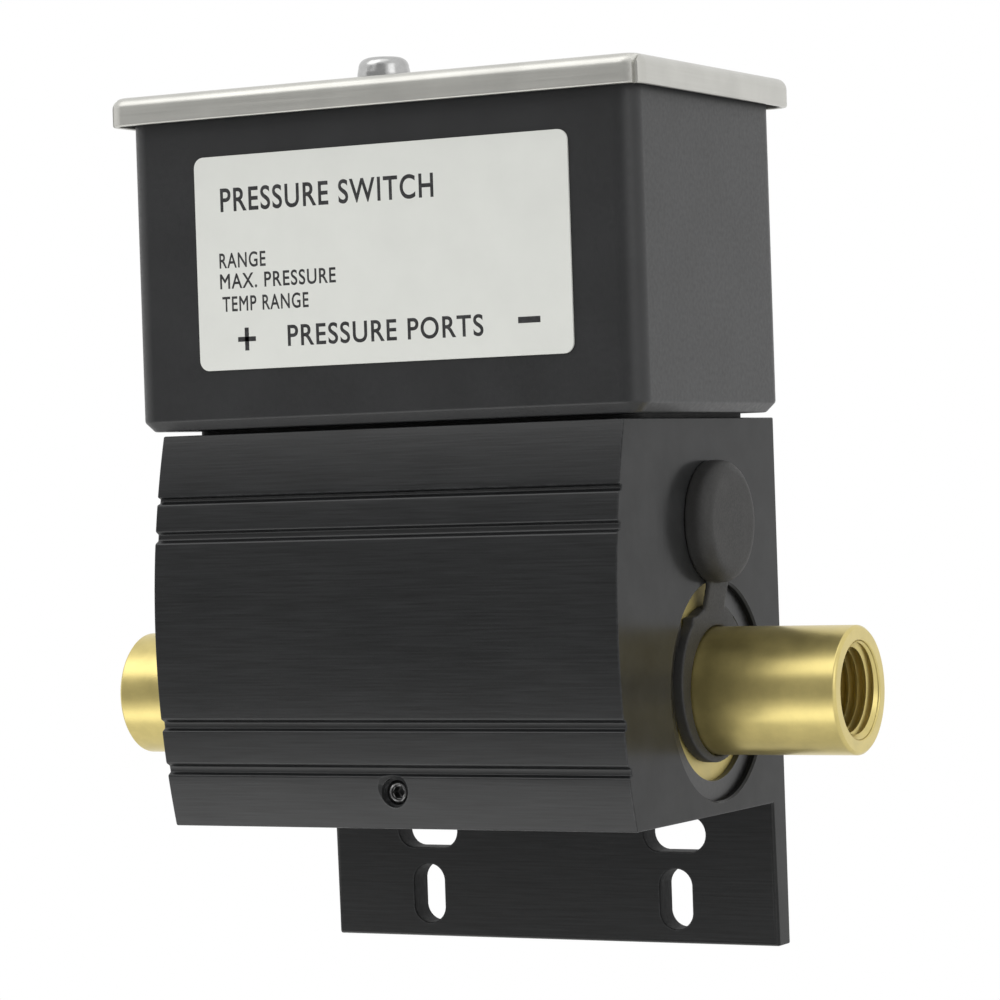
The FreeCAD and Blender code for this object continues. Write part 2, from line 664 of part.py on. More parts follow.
def make_retainers():
    """The snap rings that keep the ports in, open at the top where the plug's strap passes."""
    start = flange_face + size.running_clearance
    stop = start + size.retainer_thickness
    outside = size.bore_diameter / 2 + size.retainer_depth - size.running_clearance
    inside = outside - size.retainer_section
    corners = ((start, inside), (stop, inside), (stop, outside), (start, outside))
    strap_y = (port_y + adjuster_y) / 2
    opening_back = strap_y + size.strap_width / 2 + size.loop_gap
    opening_front = opening_back - size.strap_width * 2
    rings = []
    for name, direction in (("left", "-X"), ("right", "+X")):
        blank = turned(name + "_retainer_blank", corners, 0, port_y, 0, direction)
        opening = box(name + "_retainer_opening", (-end_face, end_face), (opening_front, opening_back),
                      (0, size.bore_diameter))
        rings.append(cut(name + "_retainer", blank, [opening]))
    node(group("retainer_rings", rings), "port_retainers")


def make_center_ring():
    """The spacer between the diaphragms, slotted for the lever."""
    half = size.ring_width / 2
    ring = turned("ring_blank", ((-half, size.ring_bore / 2), (half, size.ring_bore / 2),
                                 (half, chamber_radius), (-half, chamber_radius)), 0, port_y, 0)
    slot_half = size.collar_thickness + size.lever_thickness / 2 + size.slide_clearance
    slot = box("ring_slot", (-slot_half, slot_half), (slot_front, slot_back), (0, size.bore_diameter))
    bite = size.lock_diameter + size.press_clearance * 2
    start = port_y - size.bore_diameter / 2
    hole = rod("ring_bite", bite, lock_end + OVERCUT - start, 0, start, -size.lock_drop, "+Y")
    node(cut("center_ring_cut", ring, [slot, hole]), "center_ring")


def make_diaphragms():
    """Two rolled rubber diaphragms with backing discs, on one spindle."""
    hole = size.spindle_thread / 2 + size.running_clearance
    inner = size.ring_width / 2
    outer = inner + size.diaphragm_thickness
    fold_in = size.disc_diameter / 2 + size.running_clearance * 4
    fold_out = size.chamber_diameter / 2 - size.running_clearance * 4
    slope = (fold_out - fold_in) / 4
    skin = size.diaphragm_thickness / 4
    crest, hollow = outer + size.roll_rise, inner + size.roll_rise
    corners = ((inner, hole), (outer, hole), (outer, fold_in + skin), (crest, fold_in + slope),
               (crest, fold_out - slope), (outer, fold_out - skin), (outer, chamber_radius),
               (inner, chamber_radius), (inner, fold_out), (hollow, fold_out - slope - skin),
               (hollow, fold_in + slope + skin), (inner, fold_in))
    disc_radius = size.disc_diameter / 2
    discs = []
    nuts = []
    for name, side, direction in (("left", -1, "-X"), ("right", 1, "+X")):
        node(turned(name + "_diaphragm_body", corners, 0, port_y, 0, direction), name + "_diaphragm")
        for position, start in (("inner", inner - size.disc_thickness), ("outer", outer)):
            stop = start + size.disc_thickness
            disc = ((start, hole), (stop, hole), (stop, disc_radius), (start, disc_radius))
            discs.append(turned(f"{name}_{position}_disc", disc, 0, port_y, 0, direction))
        nut_start = outer + size.disc_thickness
        nut_x = nut_start if side > 0 else -nut_start - size.nut_height
        nut = hexagon(name + "_nut_blank", size.nut_width, size.nut_height, nut_x, port_y, 0, "+X")
        bore = rod(name + "_nut_bore", size.spindle_thread + size.press_clearance * 2,
                   size.nut_height + OVERCUT * 2, nut_x - OVERCUT, port_y, 0, "+X")
        nuts.append(cut(name + "_nut", nut, [bore]))
    node(group("discs", discs), "diaphragm_discs")
    node(group("nuts", nuts), "spindle_nuts")
    neck = size.lever_thickness / 2 + size.slide_clearance
    collar = neck + size.collar_thickness
    shoulder = inner - size.disc_thickness
    tip = outer + size.disc_thickness + size.nut_height + size.spindle_end
    half = ((neck, size.neck_diameter), (neck, size.collar_diameter), (collar, size.collar_diameter),
            (collar, size.spindle_diameter), (shoulder, size.spindle_diameter),
            (shoulder, size.spindle_thread), (tip, size.spindle_thread))
    upper = [(x, diameter / 2) for x, diameter in reversed(half)]
    mirrored = [(-x, diameter / 2) for x, diameter in half]
    spindle = turned("spindle_body", [(-tip, 0), (tip, 0)] + upper + mirrored, 0, port_y, 0)
    node(spindle, "spindle")


def make_lever():
    """The bell-crank lever: fork on the spindle, barrel on its pin, arm under the switch."""
    half = size.lever_thickness / 2
    plate = padded("lever_plate", "XZ_Plane", (
        (-half, -size.fork_drop), (half, -size.fork_drop), (half, arm_z), (size.arm_reach, arm_z),
        (size.arm_reach, arm_top_z), (-half, arm_top_z)), size.lever_width)
    place(plate, 0, lever_y, 0)
    barrel = rod("lever_barrel", size.barrel_diameter, size.lever_width, 0, lever_y - size.lever_width / 2,
                 pivot_z, "+Y")
    nub = rod("lever_nub", size.nub_diameter, half + size.nub_length, 0, adjuster_y, adjuster_z, "+X")
    blank = fused("lever_blank", [plate, barrel, nub])
    pin_bore = rod("lever_bore", size.pivot_diameter + size.running_clearance * 2,
                   size.lever_width + OVERCUT * 2, 0, lever_y - size.lever_width / 2 - OVERCUT, pivot_z, "+Y")
    fork_half = size.neck_diameter / 2 + size.slide_clearance
    fork = box("lever_fork", (-half - OVERCUT, half + OVERCUT), (port_y - fork_half, port_y + fork_half),
               (-size.fork_drop - OVERCUT, fork_half))
    node(cut("lever_cut", blank, [pin_bore, fork]), "lever")
    pin = turned("pin_body", ((0, 0), (size.pivot_length, 0), (size.pivot_length, size.pivot_diameter / 2),
                              (0, size.pivot_diameter / 2)),
                 0, -size.pivot_inset - size.pivot_length, pivot_z, "+Y")
    node(pin, "pivot_pin")


def make_adjuster():
    """Range spring, its seat, the adjusting screw and the clip that keeps the screw in."""
    gap = size.spring_gap + size.spring_wire / 2
    coil = (size.spring_diameter - size.spring_wire) / 2
    start = lever_face + gap
    length = seat_inner - gap - start
    helix = doc.addObject("Part::Helix", "spring_path")
    bind(helix, Radius=coil, Height=length, Pitch=length / size.spring_turns)
    place(helix, start, adjuster_y, adjuster_z, ALONG["+X"])
    wire = doc.addObject("Part::Circle", "spring_section")
    bind(wire, Radius=size.spring_wire / 2)
    place(wire, start, adjuster_y, adjuster_z - coil, ALONG["+Y"])
    spring = doc.addObject("Part::Sweep", "spring_sweep")
    spring.Sections = [wire]
    spring.Spine = (helix, [])
    spring.Frenet = True
    spring.Solid = True
    node(spring, "range_spring")
    seat_radius = size.adjuster_bore / 2 - size.seat_clearance
    nut_bore = size.adjuster_thread / 2 + size.running_clearance
    seat = turned("seat_blank", ((seat_inner, nut_bore), (seat_outer, nut_bore), (seat_outer, seat_radius),
                                 (seat_inner, seat_radius)), 0, adjuster_y, adjuster_z)
    key_half = size.keyway_width / 2 - size.seat_clearance
    key = box("seat_key", (seat_inner, seat_outer), (adjuster_y - key_half, adjuster_y + key_half),
              (adjuster_z + seat_radius - OVERCUT,
               adjuster_z + size.adjuster_bore / 2 + size.keyway_depth - size.seat_clearance))
    node(fused("seat_fuse", [seat, key]), "spring_seat")
    shank, head = size.adjuster_thread / 2, size.adjuster_head / 2
    blank = turned("adjuster_blank", (
        (head_inner - size.shank_length, 0), (head_outer, 0), (head_outer, head), (head_inner, head),
        (head_inner, shank), (head_inner - size.shank_length, shank)), 0, adjuster_y, adjuster_z)
    socket = hexagon("adjuster_socket", size.socket_width, size.socket_depth + OVERCUT,
                     head_outer - size.socket_depth, adjuster_y, adjuster_z, "+X")
    node(cut("adjuster_cut", blank, [socket]), "adjusting_screw")
    clip_radius = size.adjuster_bore / 2 + size.clip_depth - size.running_clearance
    clip_bore = clip_radius - size.clip_section
    clip = turned("clip_blank", ((clip_inner, clip_bore), (clip_outer, clip_bore),
                                 (clip_outer, clip_radius), (clip_inner, clip_radius)),
                  0, adjuster_y, adjuster_z)
    opening = box("clip_opening", (clip_inner - OVERCUT, clip_outer + OVERCUT),
                  (adjuster_y - size.clip_gap / 2, adjuster_y + size.clip_gap / 2),
                  (adjuster_z - size.adjuster_bore, adjuster_z))
    node(cut("clip_cut", clip, [opening]), "adjuster_clip")


def make_plug():
    """The rubber plug over the adjuster, its strap and its loop round the tube."""
    seat = end_face + size.face_gap
    face = seat + size.plug_thickness
    radius, stem = size.plug_diameter / 2, size.adjuster_bore / 2 - size.stem_clearance
    disc = turned("plug_disc", (
        (stem_end, 0), (face, 0), (face, radius - size.plug_round, size.plug_round * QUARTER_RISE),
        (face - size.plug_round, radius), (seat, radius), (seat, stem), (stem_end, stem)),
        0, adjuster_y, adjuster_z)
    loop_start = flange_face + size.loop_gap
    loop_end = loop_start + size.loop_width
    loop_bore = size.tube_diameter / 2 + size.loop_clearance
    loop = turned("plug_loop", ((loop_start, loop_bore), (loop_end, loop_bore), (loop_end, loop_radius),
                                (loop_start, loop_radius)), 0, port_y, 0)
    low = (loop_radius + size.tube_diameter / 2) / 2
    step = adjuster_z - radius
    strap_in, strap_out = seat, seat + size.strap_thickness * 2 / 3
    bend = loop_radius - size.strap_thickness / 4
    knee = size.bore_diameter / 2 - size.strap_thickness * 2 / 3
    strap = padded("plug_strap", "XZ_Plane", (
        (loop_end - size.strap_thickness, low), (loop_end, low), (loop_end, bend),
        (strap_out, knee), (strap_out, step + size.strap_thickness), (strap_in, step + size.strap_thickness),
        (strap_in, knee), (loop_end - size.strap_thickness, bend)), size.strap_width)
    place(strap, 0, (port_y + adjuster_y) / 2, 0)
    node(fused("plug_fuse", [disc, loop, strap]), "adjuster_plug")


def make_lock_screw():
    """The socket screw that locks the centre ring."""
    start = front_y(-size.lock_drop) + size.lock_sink
    length, radius = lock_end - start, size.lock_diameter / 2
    blank = turned("lock_blank", ((0, 0), (length, 0), (length, radius / 2), (length - radius / 2, radius),
                                  (0, radius)), 0, start, -size.lock_drop, "+Y")
    socket = hexagon("lock_socket", radius, radius + OVERCUT, 0, start - OVERCUT, -size.lock_drop, "+Y")
    node(cut("lock_cut", blank, [socket]), "lock_screw")


def make_housing():
    """The cast box on the body: walls, floor, cover posts and conduit boss."""
    outside = rounded_block("housing_outside", size.housing_width, housing_depth, size.housing_height,
                            size.housing_corner, foot=size.housing_foot)
    place(outside, 0, housing_y, housing_foot_z)
    cavity = rounded_block("housing_cavity", size.housing_width - size.housing_wall * 2,
                           housing_depth - size.housing_wall * 2, size.housing_height, size.cavity_corner)
    place(cavity, 0, housing_y, floor_z)
    shell = cut("housing_shell", outside, [cavity])
    post_height = rim_z - housing_foot_z - size.housing_foot
    wall_x = -size.housing_width / 2
    inside_wall = size.housing_wall / 2
    solids = [shell]
    for name, y in (("front", cover_front_y), ("back", cover_back_y)):
        solids.append(rod(name + "_post", size.cover_post, post_height, 0, y,
                          housing_foot_z + size.housing_foot))
    solids.append(rod("conduit_boss", size.conduit_boss, size.conduit_length - inside_wall,
                      wall_x + inside_wall, housing_y, conduit_z, "+X"))
    solid = fused("housing_solid", solids)
    cutters = []
    for name, y in (("front", cover_front_y), ("back", cover_back_y)):
        cutters.append(rod(name + "_tapped_hole", size.cover_screw + size.press_clearance * 2,
                           size.cover_screw_length + OVERCUT, 0, y, rim_z - size.cover_screw_length))
    cutters.append(rod("conduit_hole", size.conduit_bore, size.conduit_length + OVERCUT * 2, wall_x - OVERCUT,
                       housing_y, conduit_z, "+X"))
    half = size.lever_slot_length / 2
    cutters.append(box("floor_slot", (-half, half), (slot_front, slot_back), (body_top, floor_z + OVERCUT)))
    for number, (x, y) in enumerate(foot_screw_places):
        cutters.append(rod(f"floor_hole_{number}", size.foot_screw + size.hole_clearance * 2,
                           size.housing_floor + OVERCUT * 2, x, y, housing_foot_z - OVERCUT))
    for number, (x, y, diameter) in enumerate(floor_screw_places()):
        cutters.append(rod(f"floor_tap_{number}", diameter + size.press_clearance * 2,
                           size.housing_floor + OVERCUT * 2, x, y, housing_foot_z - OVERCUT))
    node(cut("housing_cut", solid, cutters), "housing")


def floor_screw_places():
    """Tapped holes of the floor: bracket screws, then the ground screw."""
    foot_y = bracket_back_y + bracket_foot_depth / 2
    half = size.bracket_screw_spacing / 2
    return [(bracket_x - half, foot_y, size.bracket_screw),
            (bracket_x + half, foot_y, size.bracket_screw),
            (ground_x, -size.ground_back, size.switch_screw)]


def make_housing_fasteners():
    """Gasket and screws between housing and body, and the ground screw."""
    half_x = end_face - size.gasket_end_inset
    front, back = -size.edge_depth + size.gasket_edge_inset, -size.gasket_edge_inset
    sheet = rounded_block("gasket_sheet", half_x * 2, back - front, size.gasket_thickness,
                          size.housing_corner)
    place(sheet, 0, (front + back) / 2, body_top)
    half = size.lever_slot_length / 2
    cutters = [box("gasket_slot", (-half, half), (slot_front, slot_back),
                   (body_top - OVERCUT, housing_foot_z + OVERCUT))]
    screws = []
    for number, (x, y) in enumerate(foot_screw_places):
        cutters.append(rod(f"gasket_hole_{number}", size.foot_screw + size.hole_clearance * 2,
                           size.gasket_thickness + OVERCUT * 2, x, y, body_top - OVERCUT))
        screws.append(screw(f"foot_screw_{number}", size.foot_screw, size.foot_screw_length, size.switch_head,
                            size.switch_head_height, x, y, floor_z))
    node(cut("gasket_cut", sheet, cutters), "housing_gasket")
    node(group("foot_screws", screws), "housing_screws")
    ground = screw("ground_body", size.switch_screw, size.housing_floor, size.switch_head,
                   size.switch_head_height, ground_x, -size.ground_back, floor_z)
    node(ground, "ground_screw")


def make_switch():
    """The snap switch over the lever's arm, its terminals, bracket and screws."""
    case = rounded_block("switch_block", size.switch_length, size.switch_thickness, size.switch_height,
                         size.switch_edge)
    place(case, switch_middle_x, switch_y, switch_z)
    fit = size.running_clearance * 2
    cutters = [rod("plunger_hole", size.plunger_diameter + fit,
                   size.plunger_depth + size.plunger_rise + OVERCUT, plunger_x, lever_y, switch_z - OVERCUT)]
    hole_z = switch_z + size.switch_hole_rise
    half_spacing = size.switch_hole_spacing / 2
    hole_places = [switch_middle_x - half_spacing, switch_middle_x + half_spacing]
    for number, x in enumerate(hole_places):
        cutters.append(rod(f"switch_hole_{number}", size.switch_screw + size.hole_clearance * 2,
                           size.switch_thickness + OVERCUT * 2, x, switch_front_y - OVERCUT, hole_z, "+Y"))
    top_z = switch_z + size.switch_height
    terminals = []
    terminal_screws = []
    tapped = size.switch_screw + size.press_clearance * 2
    for number in (-1, 0, 1):
        x = switch_middle_x + size.terminal_spacing * number
        depth = size.switch_height / 3
        cutters.append(rod(f"terminal_tap_{number + 1}", tapped, depth + OVERCUT, x, switch_y, top_z - depth))
        half_x, half_y = size.terminal_length / 2, size.terminal_width / 2
        strip = box(f"terminal_strip_{number + 1}", (x - half_x, x + half_x),
                    (switch_y - half_y, switch_y + half_y), (top_z, top_z + size.terminal_thickness))
        hole = rod(f"terminal_hole_{number + 1}", size.switch_screw + size.hole_clearance * 2,
                   size.terminal_thickness + OVERCUT * 2, x, switch_y, top_z - OVERCUT)
        terminals.append(cut(f"terminal_{number + 1}", strip, [hole]))
        terminal_screws.append(screw(f"terminal_screw_{number + 1}", size.switch_screw, depth,
                                     size.switch_head, size.switch_head_height, x, switch_y,
                                     top_z + size.terminal_thickness))
    node(cut("switch_cut", case, cutters), "switch_case")
    node(group("terminals", terminals), "switch_terminals")
    node(group("terminal_screws_group", terminal_screws), "terminal_screws")
    plunger_low = switch_z - size.plunger_rise
    plunger = turned("plunger_body", (
        (0, 0), (size.plunger_rise + size.plunger_depth, 0),
        (size.plunger_rise + size.plunger_depth, size.plunger_diameter / 2),
        (size.plunger_diameter / 8, size.plunger_diameter / 2), (0, size.plunger_diameter * 3 / 8)),
        plunger_x, lever_y, plunger_low, "+Z")
    node(plunger, "switch_plunger")
    make_bracket(hole_places, hole_z)


def make_bracket(hole_places, hole_z):
    """The angle bracket behind the switch, screwed to the floor."""
    front, back = switch_back_y, bracket_back_y
    low_x, high_x = hole_places[0] - size.bracket_margin, hole_places[1] + size.bracket_margin
    lift_z = floor_z + size.bracket_lift
    upright = box("bracket_upright", (low_x, high_x), (front, back), (lift_z, hole_z + size.bracket_margin))
    half = size.bracket_foot_length / 2
    foot_x = (bracket_x - half, bracket_x + half)
    neck = box("bracket_neck", foot_x, (front, back), (floor_z, lift_z + OVERCUT))
    foot = box("bracket_foot", foot_x, (front, bracket_foot_end), (floor_z, floor_z + size.bracket_thickness))
    blank = fused("bracket_blank", [upright, neck, foot])
    tapped = size.switch_screw + size.press_clearance * 2
    screw_end = size.switch_thickness + size.bracket_thickness
    cutters = []
    switch_screws = []
    for number, x in enumerate(hole_places):
        cutters.append(rod(f"bracket_tap_{number}", tapped, size.bracket_thickness + OVERCUT * 2, x,
                           front - OVERCUT, hole_z, "+Y"))
        body = turned(f"switch_screw_{number}", (
            (-size.switch_head_height, 0), (screw_end, 0), (screw_end, size.switch_screw / 2),
            (0, size.switch_screw / 2), (0, size.switch_head / 2),
            (-size.switch_head_height, size.switch_head / 2)), x, switch_front_y, hole_z, "+Y")
        switch_screws.append(body)
    bracket_screws = []
    for number, (x, y, diameter) in enumerate(floor_screw_places()[:2]):
        cutters.append(rod(f"bracket_hole_{number}", diameter + size.hole_clearance * 2,
                           size.bracket_thickness + OVERCUT * 2, x, y, floor_z - OVERCUT))
        bracket_screws.append(screw(f"bracket_screw_{number}", diameter,
                                    size.bracket_thickness + size.housing_floor, size.bracket_head,
                                    size.switch_head_height, x, y, floor_z + size.bracket_thickness))
    node(cut("bracket_cut", blank, cutters), "switch_bracket")
    node(group("switch_screws_group", switch_screws), "switch_screws")
    node(group("bracket_screws_group", bracket_screws), "bracket_screws")


def make_lid():
    """The sheet-metal lid with its gasket and screws."""
    width = size.housing_width + size.lid_overhang * 2
    depth = housing_depth + size.lid_overhang * 2
    outside = rounded_block("lid_outside", width, depth, size.lid_skirt, size.lid_corner, bend=size.lid_bend)
    place(outside, 0, housing_y, lid_top_z - size.lid_skirt)
    inside = rounded_block("lid_inside", width - size.lid_sheet * 2, depth - size.lid_sheet * 2,
                           size.lid_skirt - size.lid_sheet, size.lid_corner - size.lid_sheet)
    place(inside, 0, housing_y, lid_top_z - size.lid_skirt)
    seal_width = size.housing_width - size.gasket_margin * 2
    seal_depth = housing_depth - size.gasket_margin * 2
    sheet = rounded_block("lid_seal_sheet", seal_width, seal_depth, size.lid_gasket_thickness,
                          size.housing_corner - size.gasket_margin)
    place(sheet, 0, housing_y, rim_z)
    window = rounded_block("lid_seal_window", size.housing_width - size.housing_wall * 2,
                           housing_depth - cover_inset * 2 - size.cover_post,
                           size.lid_gasket_thickness + OVERCUT * 2, size.cavity_corner)
    place(window, 0, housing_y, rim_z - OVERCUT)
    hole = size.cover_screw + size.hole_clearance * 2
    lid_cutters = [inside]
    seal_cutters = [window]
    screws = []
    for name, y in (("front", cover_front_y), ("back", cover_back_y)):
        lid_cutters.append(rod(name + "_lid_hole", hole, size.lid_sheet + OVERCUT * 2, 0, y,
                               lid_under_z - OVERCUT))
        seal_cutters.append(rod(name + "_seal_hole", hole, size.lid_gasket_thickness + OVERCUT * 2, 0, y,
                                rim_z - OVERCUT))
        screws.append(screw(name + "_cover_screw", size.cover_screw, size.cover_screw_length, size.cover_head,
                            size.cover_head_height, 0, y, lid_top_z, size.cover_crown))
    node(cut("lid_cut", outside, lid_cutters), "lid")
    node(cut("lid_seal_cut", sheet, seal_cutters), "lid_gasket")
    node(group("cover_screws_group", screws), "cover_screws")


def make_label():
    """The label plate on the housing's front."""
    label = rounded_block("label_plate", size.label_width, size.label_height, size.label_thickness,
                          size.label_corner)
    place(label, size.label_shift, -size.housing_front, (housing_foot_z + rim_z) / 2 + size.label_lift,
          FreeCAD.Rotation(AXIS_X, 90))
    node(label, "label")


def check():
    """Stop if a feature failed or a piece has no sound solid."""
    for feature in doc.Objects:
        if "Invalid" in feature.State or "Error" in feature.State:
            raise RuntimeError(f"{feature.Label}: {feature.State}")
    for piece in nodes:
        shape = piece.Shape
        if shape.isNull() or not shape.isValid() or not shape.Solids:
            raise RuntimeError(f"{piece.Label} has no sound solid")


def write():
    """Write one file for each piece."""
    os.makedirs("parts", exist_ok=True)
    for piece in nodes:
        piece.Shape.exportStep(os.path.join("parts", piece.Label + ".step"))


make_body()
make_ports()
make_retainers()
make_center_ring()
make_diaphragms()
make_lever()
make_adjuster()
make_plug()
make_lock_screw()
make_housing()
make_housing_fasteners()
make_switch()
make_lid()
make_label()
doc.recompute()
check()
write()
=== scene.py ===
"""Looks of a differential pressure switch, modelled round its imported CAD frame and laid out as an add-on."""

import math

import bmesh
import bpy
from bpy.props import FloatProperty, FloatVectorProperty, PointerProperty
from mathutils import Matrix, Vector


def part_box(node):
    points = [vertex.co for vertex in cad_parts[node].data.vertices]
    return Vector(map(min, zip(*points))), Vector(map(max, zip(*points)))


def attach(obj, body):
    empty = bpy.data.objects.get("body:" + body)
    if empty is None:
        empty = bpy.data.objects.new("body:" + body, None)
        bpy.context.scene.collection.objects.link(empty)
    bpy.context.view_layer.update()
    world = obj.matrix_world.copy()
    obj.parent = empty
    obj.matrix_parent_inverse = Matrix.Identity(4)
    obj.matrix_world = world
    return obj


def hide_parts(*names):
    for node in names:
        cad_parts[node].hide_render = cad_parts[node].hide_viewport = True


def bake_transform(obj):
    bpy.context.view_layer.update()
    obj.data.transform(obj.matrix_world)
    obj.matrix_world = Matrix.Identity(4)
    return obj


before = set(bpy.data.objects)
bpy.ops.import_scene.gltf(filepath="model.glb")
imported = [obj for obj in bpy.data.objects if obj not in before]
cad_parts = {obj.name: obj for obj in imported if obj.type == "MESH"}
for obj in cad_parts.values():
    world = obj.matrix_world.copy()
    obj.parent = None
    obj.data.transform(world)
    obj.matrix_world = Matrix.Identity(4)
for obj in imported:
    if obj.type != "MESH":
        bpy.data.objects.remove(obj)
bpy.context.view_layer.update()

bl_info = {
    "name": "Differential Pressure Switch",
    "version": (1, 0, 0),
    "blender": (4, 5, 0),
    "location": "View3D > Sidebar > Pressure Switch",
    "description": "Models and finishes a wall mounted differential pressure switch",
    "category": "Object",
}

BODY_LOW, BODY_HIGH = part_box("body_extrusion")
HOUSING_LOW, HOUSING_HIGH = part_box("housing")
LID_LOW, LID_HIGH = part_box("lid")
LABEL_LOW, LABEL_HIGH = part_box("label")
PORT_LOW, PORT_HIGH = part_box("right_port")
PLUG_LOW, PLUG_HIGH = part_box("adjuster_plug")
RETAINER_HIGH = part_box("port_retainers")[1]
LOCK_LOW, LOCK_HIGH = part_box("lock_screw")
PIN_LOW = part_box("pivot_pin")[0]
PORT_AXIS = Vector((0.0, -0.0227, 0.0))
PLUG_AXIS = Vector((0.0, -0.0241, 0.0252))
LOCK_AXIS = Vector((0.0, 0.0, -0.013))
PIN_AXIS = Vector((0.0, 0.0, 0.033))
POST_INSET = 0.0046  # cover posts from the housing's front and back
POSTS = (HOUSING_LOW.y + POST_INSET, HOUSING_HIGH.y - POST_INSET)
OVER = 0.001  # reach of a cutter past a face
WELD = 0.000002  # distance at which doubles merge
NEAR = 0.000001  # slack of a test on a place


def length(name, description, default):
    """A size in metres."""
    return FloatProperty(name=name, description=description, default=default, unit="LENGTH", precision=5,
                         min=0.0)


def heading(name, description, degrees):
    """An angle."""
    return FloatProperty(name=name, description=description, default=math.radians(degrees), subtype="ANGLE")


def colour(name, description, default):
    """A linear colour."""
    return FloatVectorProperty(name=name, description=description, default=default, subtype="COLOR",
                               min=0.0, max=1.0)


class SwitchSizes(bpy.types.PropertyGroup):
    """Sizes of the modelled pieces that the frame doesn't give"""

    front_radius: length("Front radius", "Curve of the body's front, seen from an end", 0.1057)
    front_reach: length("Front reach", "Foremost line of the body in front of its back", 0.05579)
    front_height: length("Front height", "Foremost line of the body above the port axis", 0.0111)
    groove_depth: length("Groove depth", "Grooves along the body's front", 0.0008)
    plate: length("Plate", "Thickness of the mounting plate below the body", 0.0045)
    plate_edge: length("Plate edge", "Rounded front edges of the mounting plate", 0.0007)
    body_foot: length("Body foot", "Underside of the body below the port axis", 0.0184)
    body_edge: length("Body edge", "Edge break of the extrusion", 0.00022)
    bore: length("Bore", "Radius of the bore for the ports", 0.016375)
    ring_groove: length("Ring groove", "Radius of the snap ring grooves in that bore", 0.017275)
    ring_width: length("Ring width", "Width of the snap ring grooves", 0.0011)
    adjuster_bore: length("Adjuster bore", "Radius of the bore behind the plug", 0.006)
    slot_width: length("Slot width", "Width of the mounting slots", 0.0055)
    flange: length("Flange", "Radius of a port's flange", 0.016275)
    flange_face: length("Flange face", "Port flange from the middle of the body", 0.03685)
    tube: length("Tube", "Radius of a port's tube", 0.009525)
    thread_crest: length("Thread crest", "Radius of the port thread at its crests", 0.0063)
    thread_root: length("Thread root", "Radius of the port thread at its roots", 0.0072)
    thread_pitch: length("Thread pitch", "Pitch of the port thread", 0.00141)
    thread_lead: length("Thread lead", "Tip of the cone that trims the port thread, behind the mouth", 0.0075)
    housing_corner: length("Housing corner", "Upright corners of the housing", 0.0035)
    housing_wall: length("Housing wall", "Walls of the housing", 0.003)
    housing_floor: length("Housing floor", "Floor of the housing", 0.0032)
    housing_foot: length("Housing foot", "Chamfer round the housing's foot", 0.0015)
    conduit_crest: length("Conduit crest", "Radius of the conduit thread at its crests", 0.0093)
    conduit_root: length("Conduit root", "Radius of the conduit thread at its roots", 0.01035)
    conduit_pitch: length("Conduit pitch", "Pitch of the conduit thread", 0.001814)
    lid_sheet: length("Lid sheet", "Sheet thickness of the lid", 0.0009)
    lid_bend: length("Lid bend", "Bend along the lid's top edges", 0.0017)
    lid_corner: length("Lid corner", "Upright corners of the lid", 0.003)
    plug_disc: length("Plug disc", "Radius of the plug's cap", 0.0091)
    plug_voxel: length("Plug voxel", "Size of the cells that the moulded plug is made of", 0.00022)
    plug_round: length("Plug round", "Rounded edge of the rubber plug", 0.0021)
    label_corner: length("Label corner", "Corners of the label", 0.0016)


class SwitchColours(bpy.types.PropertyGroup):
    """Colours of the finishes"""

    anodised: colour("Anodised", "Black anodised long faces", (0.0085, 0.0090, 0.0095))
    cut_end: colour("Cut end", "Black anodised sawn ends", (0.0255, 0.026, 0.0263))
    coat: colour("Coat", "Satin coat of the housing", (0.0135, 0.0140, 0.0148))
    brass: colour("Brass", "Turned brass", (0.65, 0.54, 0.21))
    stainless: colour("Stainless", "Satin stainless sheet", (0.54, 0.535, 0.50))
    screw: colour("Screw", "Stainless cover screws", (0.46, 0.46, 0.455))
    rubber: colour("Rubber", "Moulded rubber", (0.022, 0.0215, 0.0205))
    film: colour("Film", "Label film", (0.72, 0.73, 0.69))
    ink: colour("Ink", "Printing on the label", (0.02, 0.02, 0.021))
    oxide: colour("Oxide", "Black oxide of the lock screw", (0.06, 0.06, 0.06))


class StageSettings(bpy.types.PropertyGroup):
    """Floor, light and camera"""

    azimuth: heading("Azimuth", "Camera round the switch, from its front", 28.24)
    elevation: heading("Elevation", "Camera above the horizon", 0.32)
    roll: heading("Roll", "Camera turned about its view", -1.89)
    distance: length("Distance", "Camera to its target", 0.58114)
    lens: FloatProperty(name="Lens", description="Focal length in millimetres on a 36 mm frame",
                        default=138.61, min=1.0)
    floor_drop: length("Floor drop", "Floor below the port axis", 0.07)
    pale: colour("Floor colour", "Plain pale floor", (0.86, 0.86, 0.85))


# Modelling tools


def deselect():
    """Leaves nothing selected, in object mode."""
    if bpy.context.object and bpy.context.object.mode != "OBJECT":
        bpy.ops.object.mode_set(mode="OBJECT")
    bpy.ops.object.select_all(action="DESELECT")


def take(piece):
    """Selects this piece alone and makes it active."""
    deselect()
    piece.select_set(True)
    bpy.context.view_layer.objects.active = piece


def open_mesh(piece):
    """Opens a piece in edit mode."""
    take(piece)
    bpy.ops.object.mode_set(mode="EDIT")


def weld(distance=WELD):
    """Selects the whole open mesh and merges its doubles."""
    bpy.ops.mesh.select_all(action="SELECT")
    bpy.ops.mesh.remove_doubles(threshold=distance)


def close_mesh():
    """Merges doubles, turns all faces outwards and leaves edit mode."""
    bpy.ops.mesh.select_mode(type="VERT")
    weld()
    bpy.ops.mesh.normals_make_consistent(inside=False)
    bpy.ops.object.mode_set(mode="OBJECT")


def clean(piece):
    """Merges a piece's doubles and turns its faces outwards."""
    open_mesh(piece)
    close_mesh()


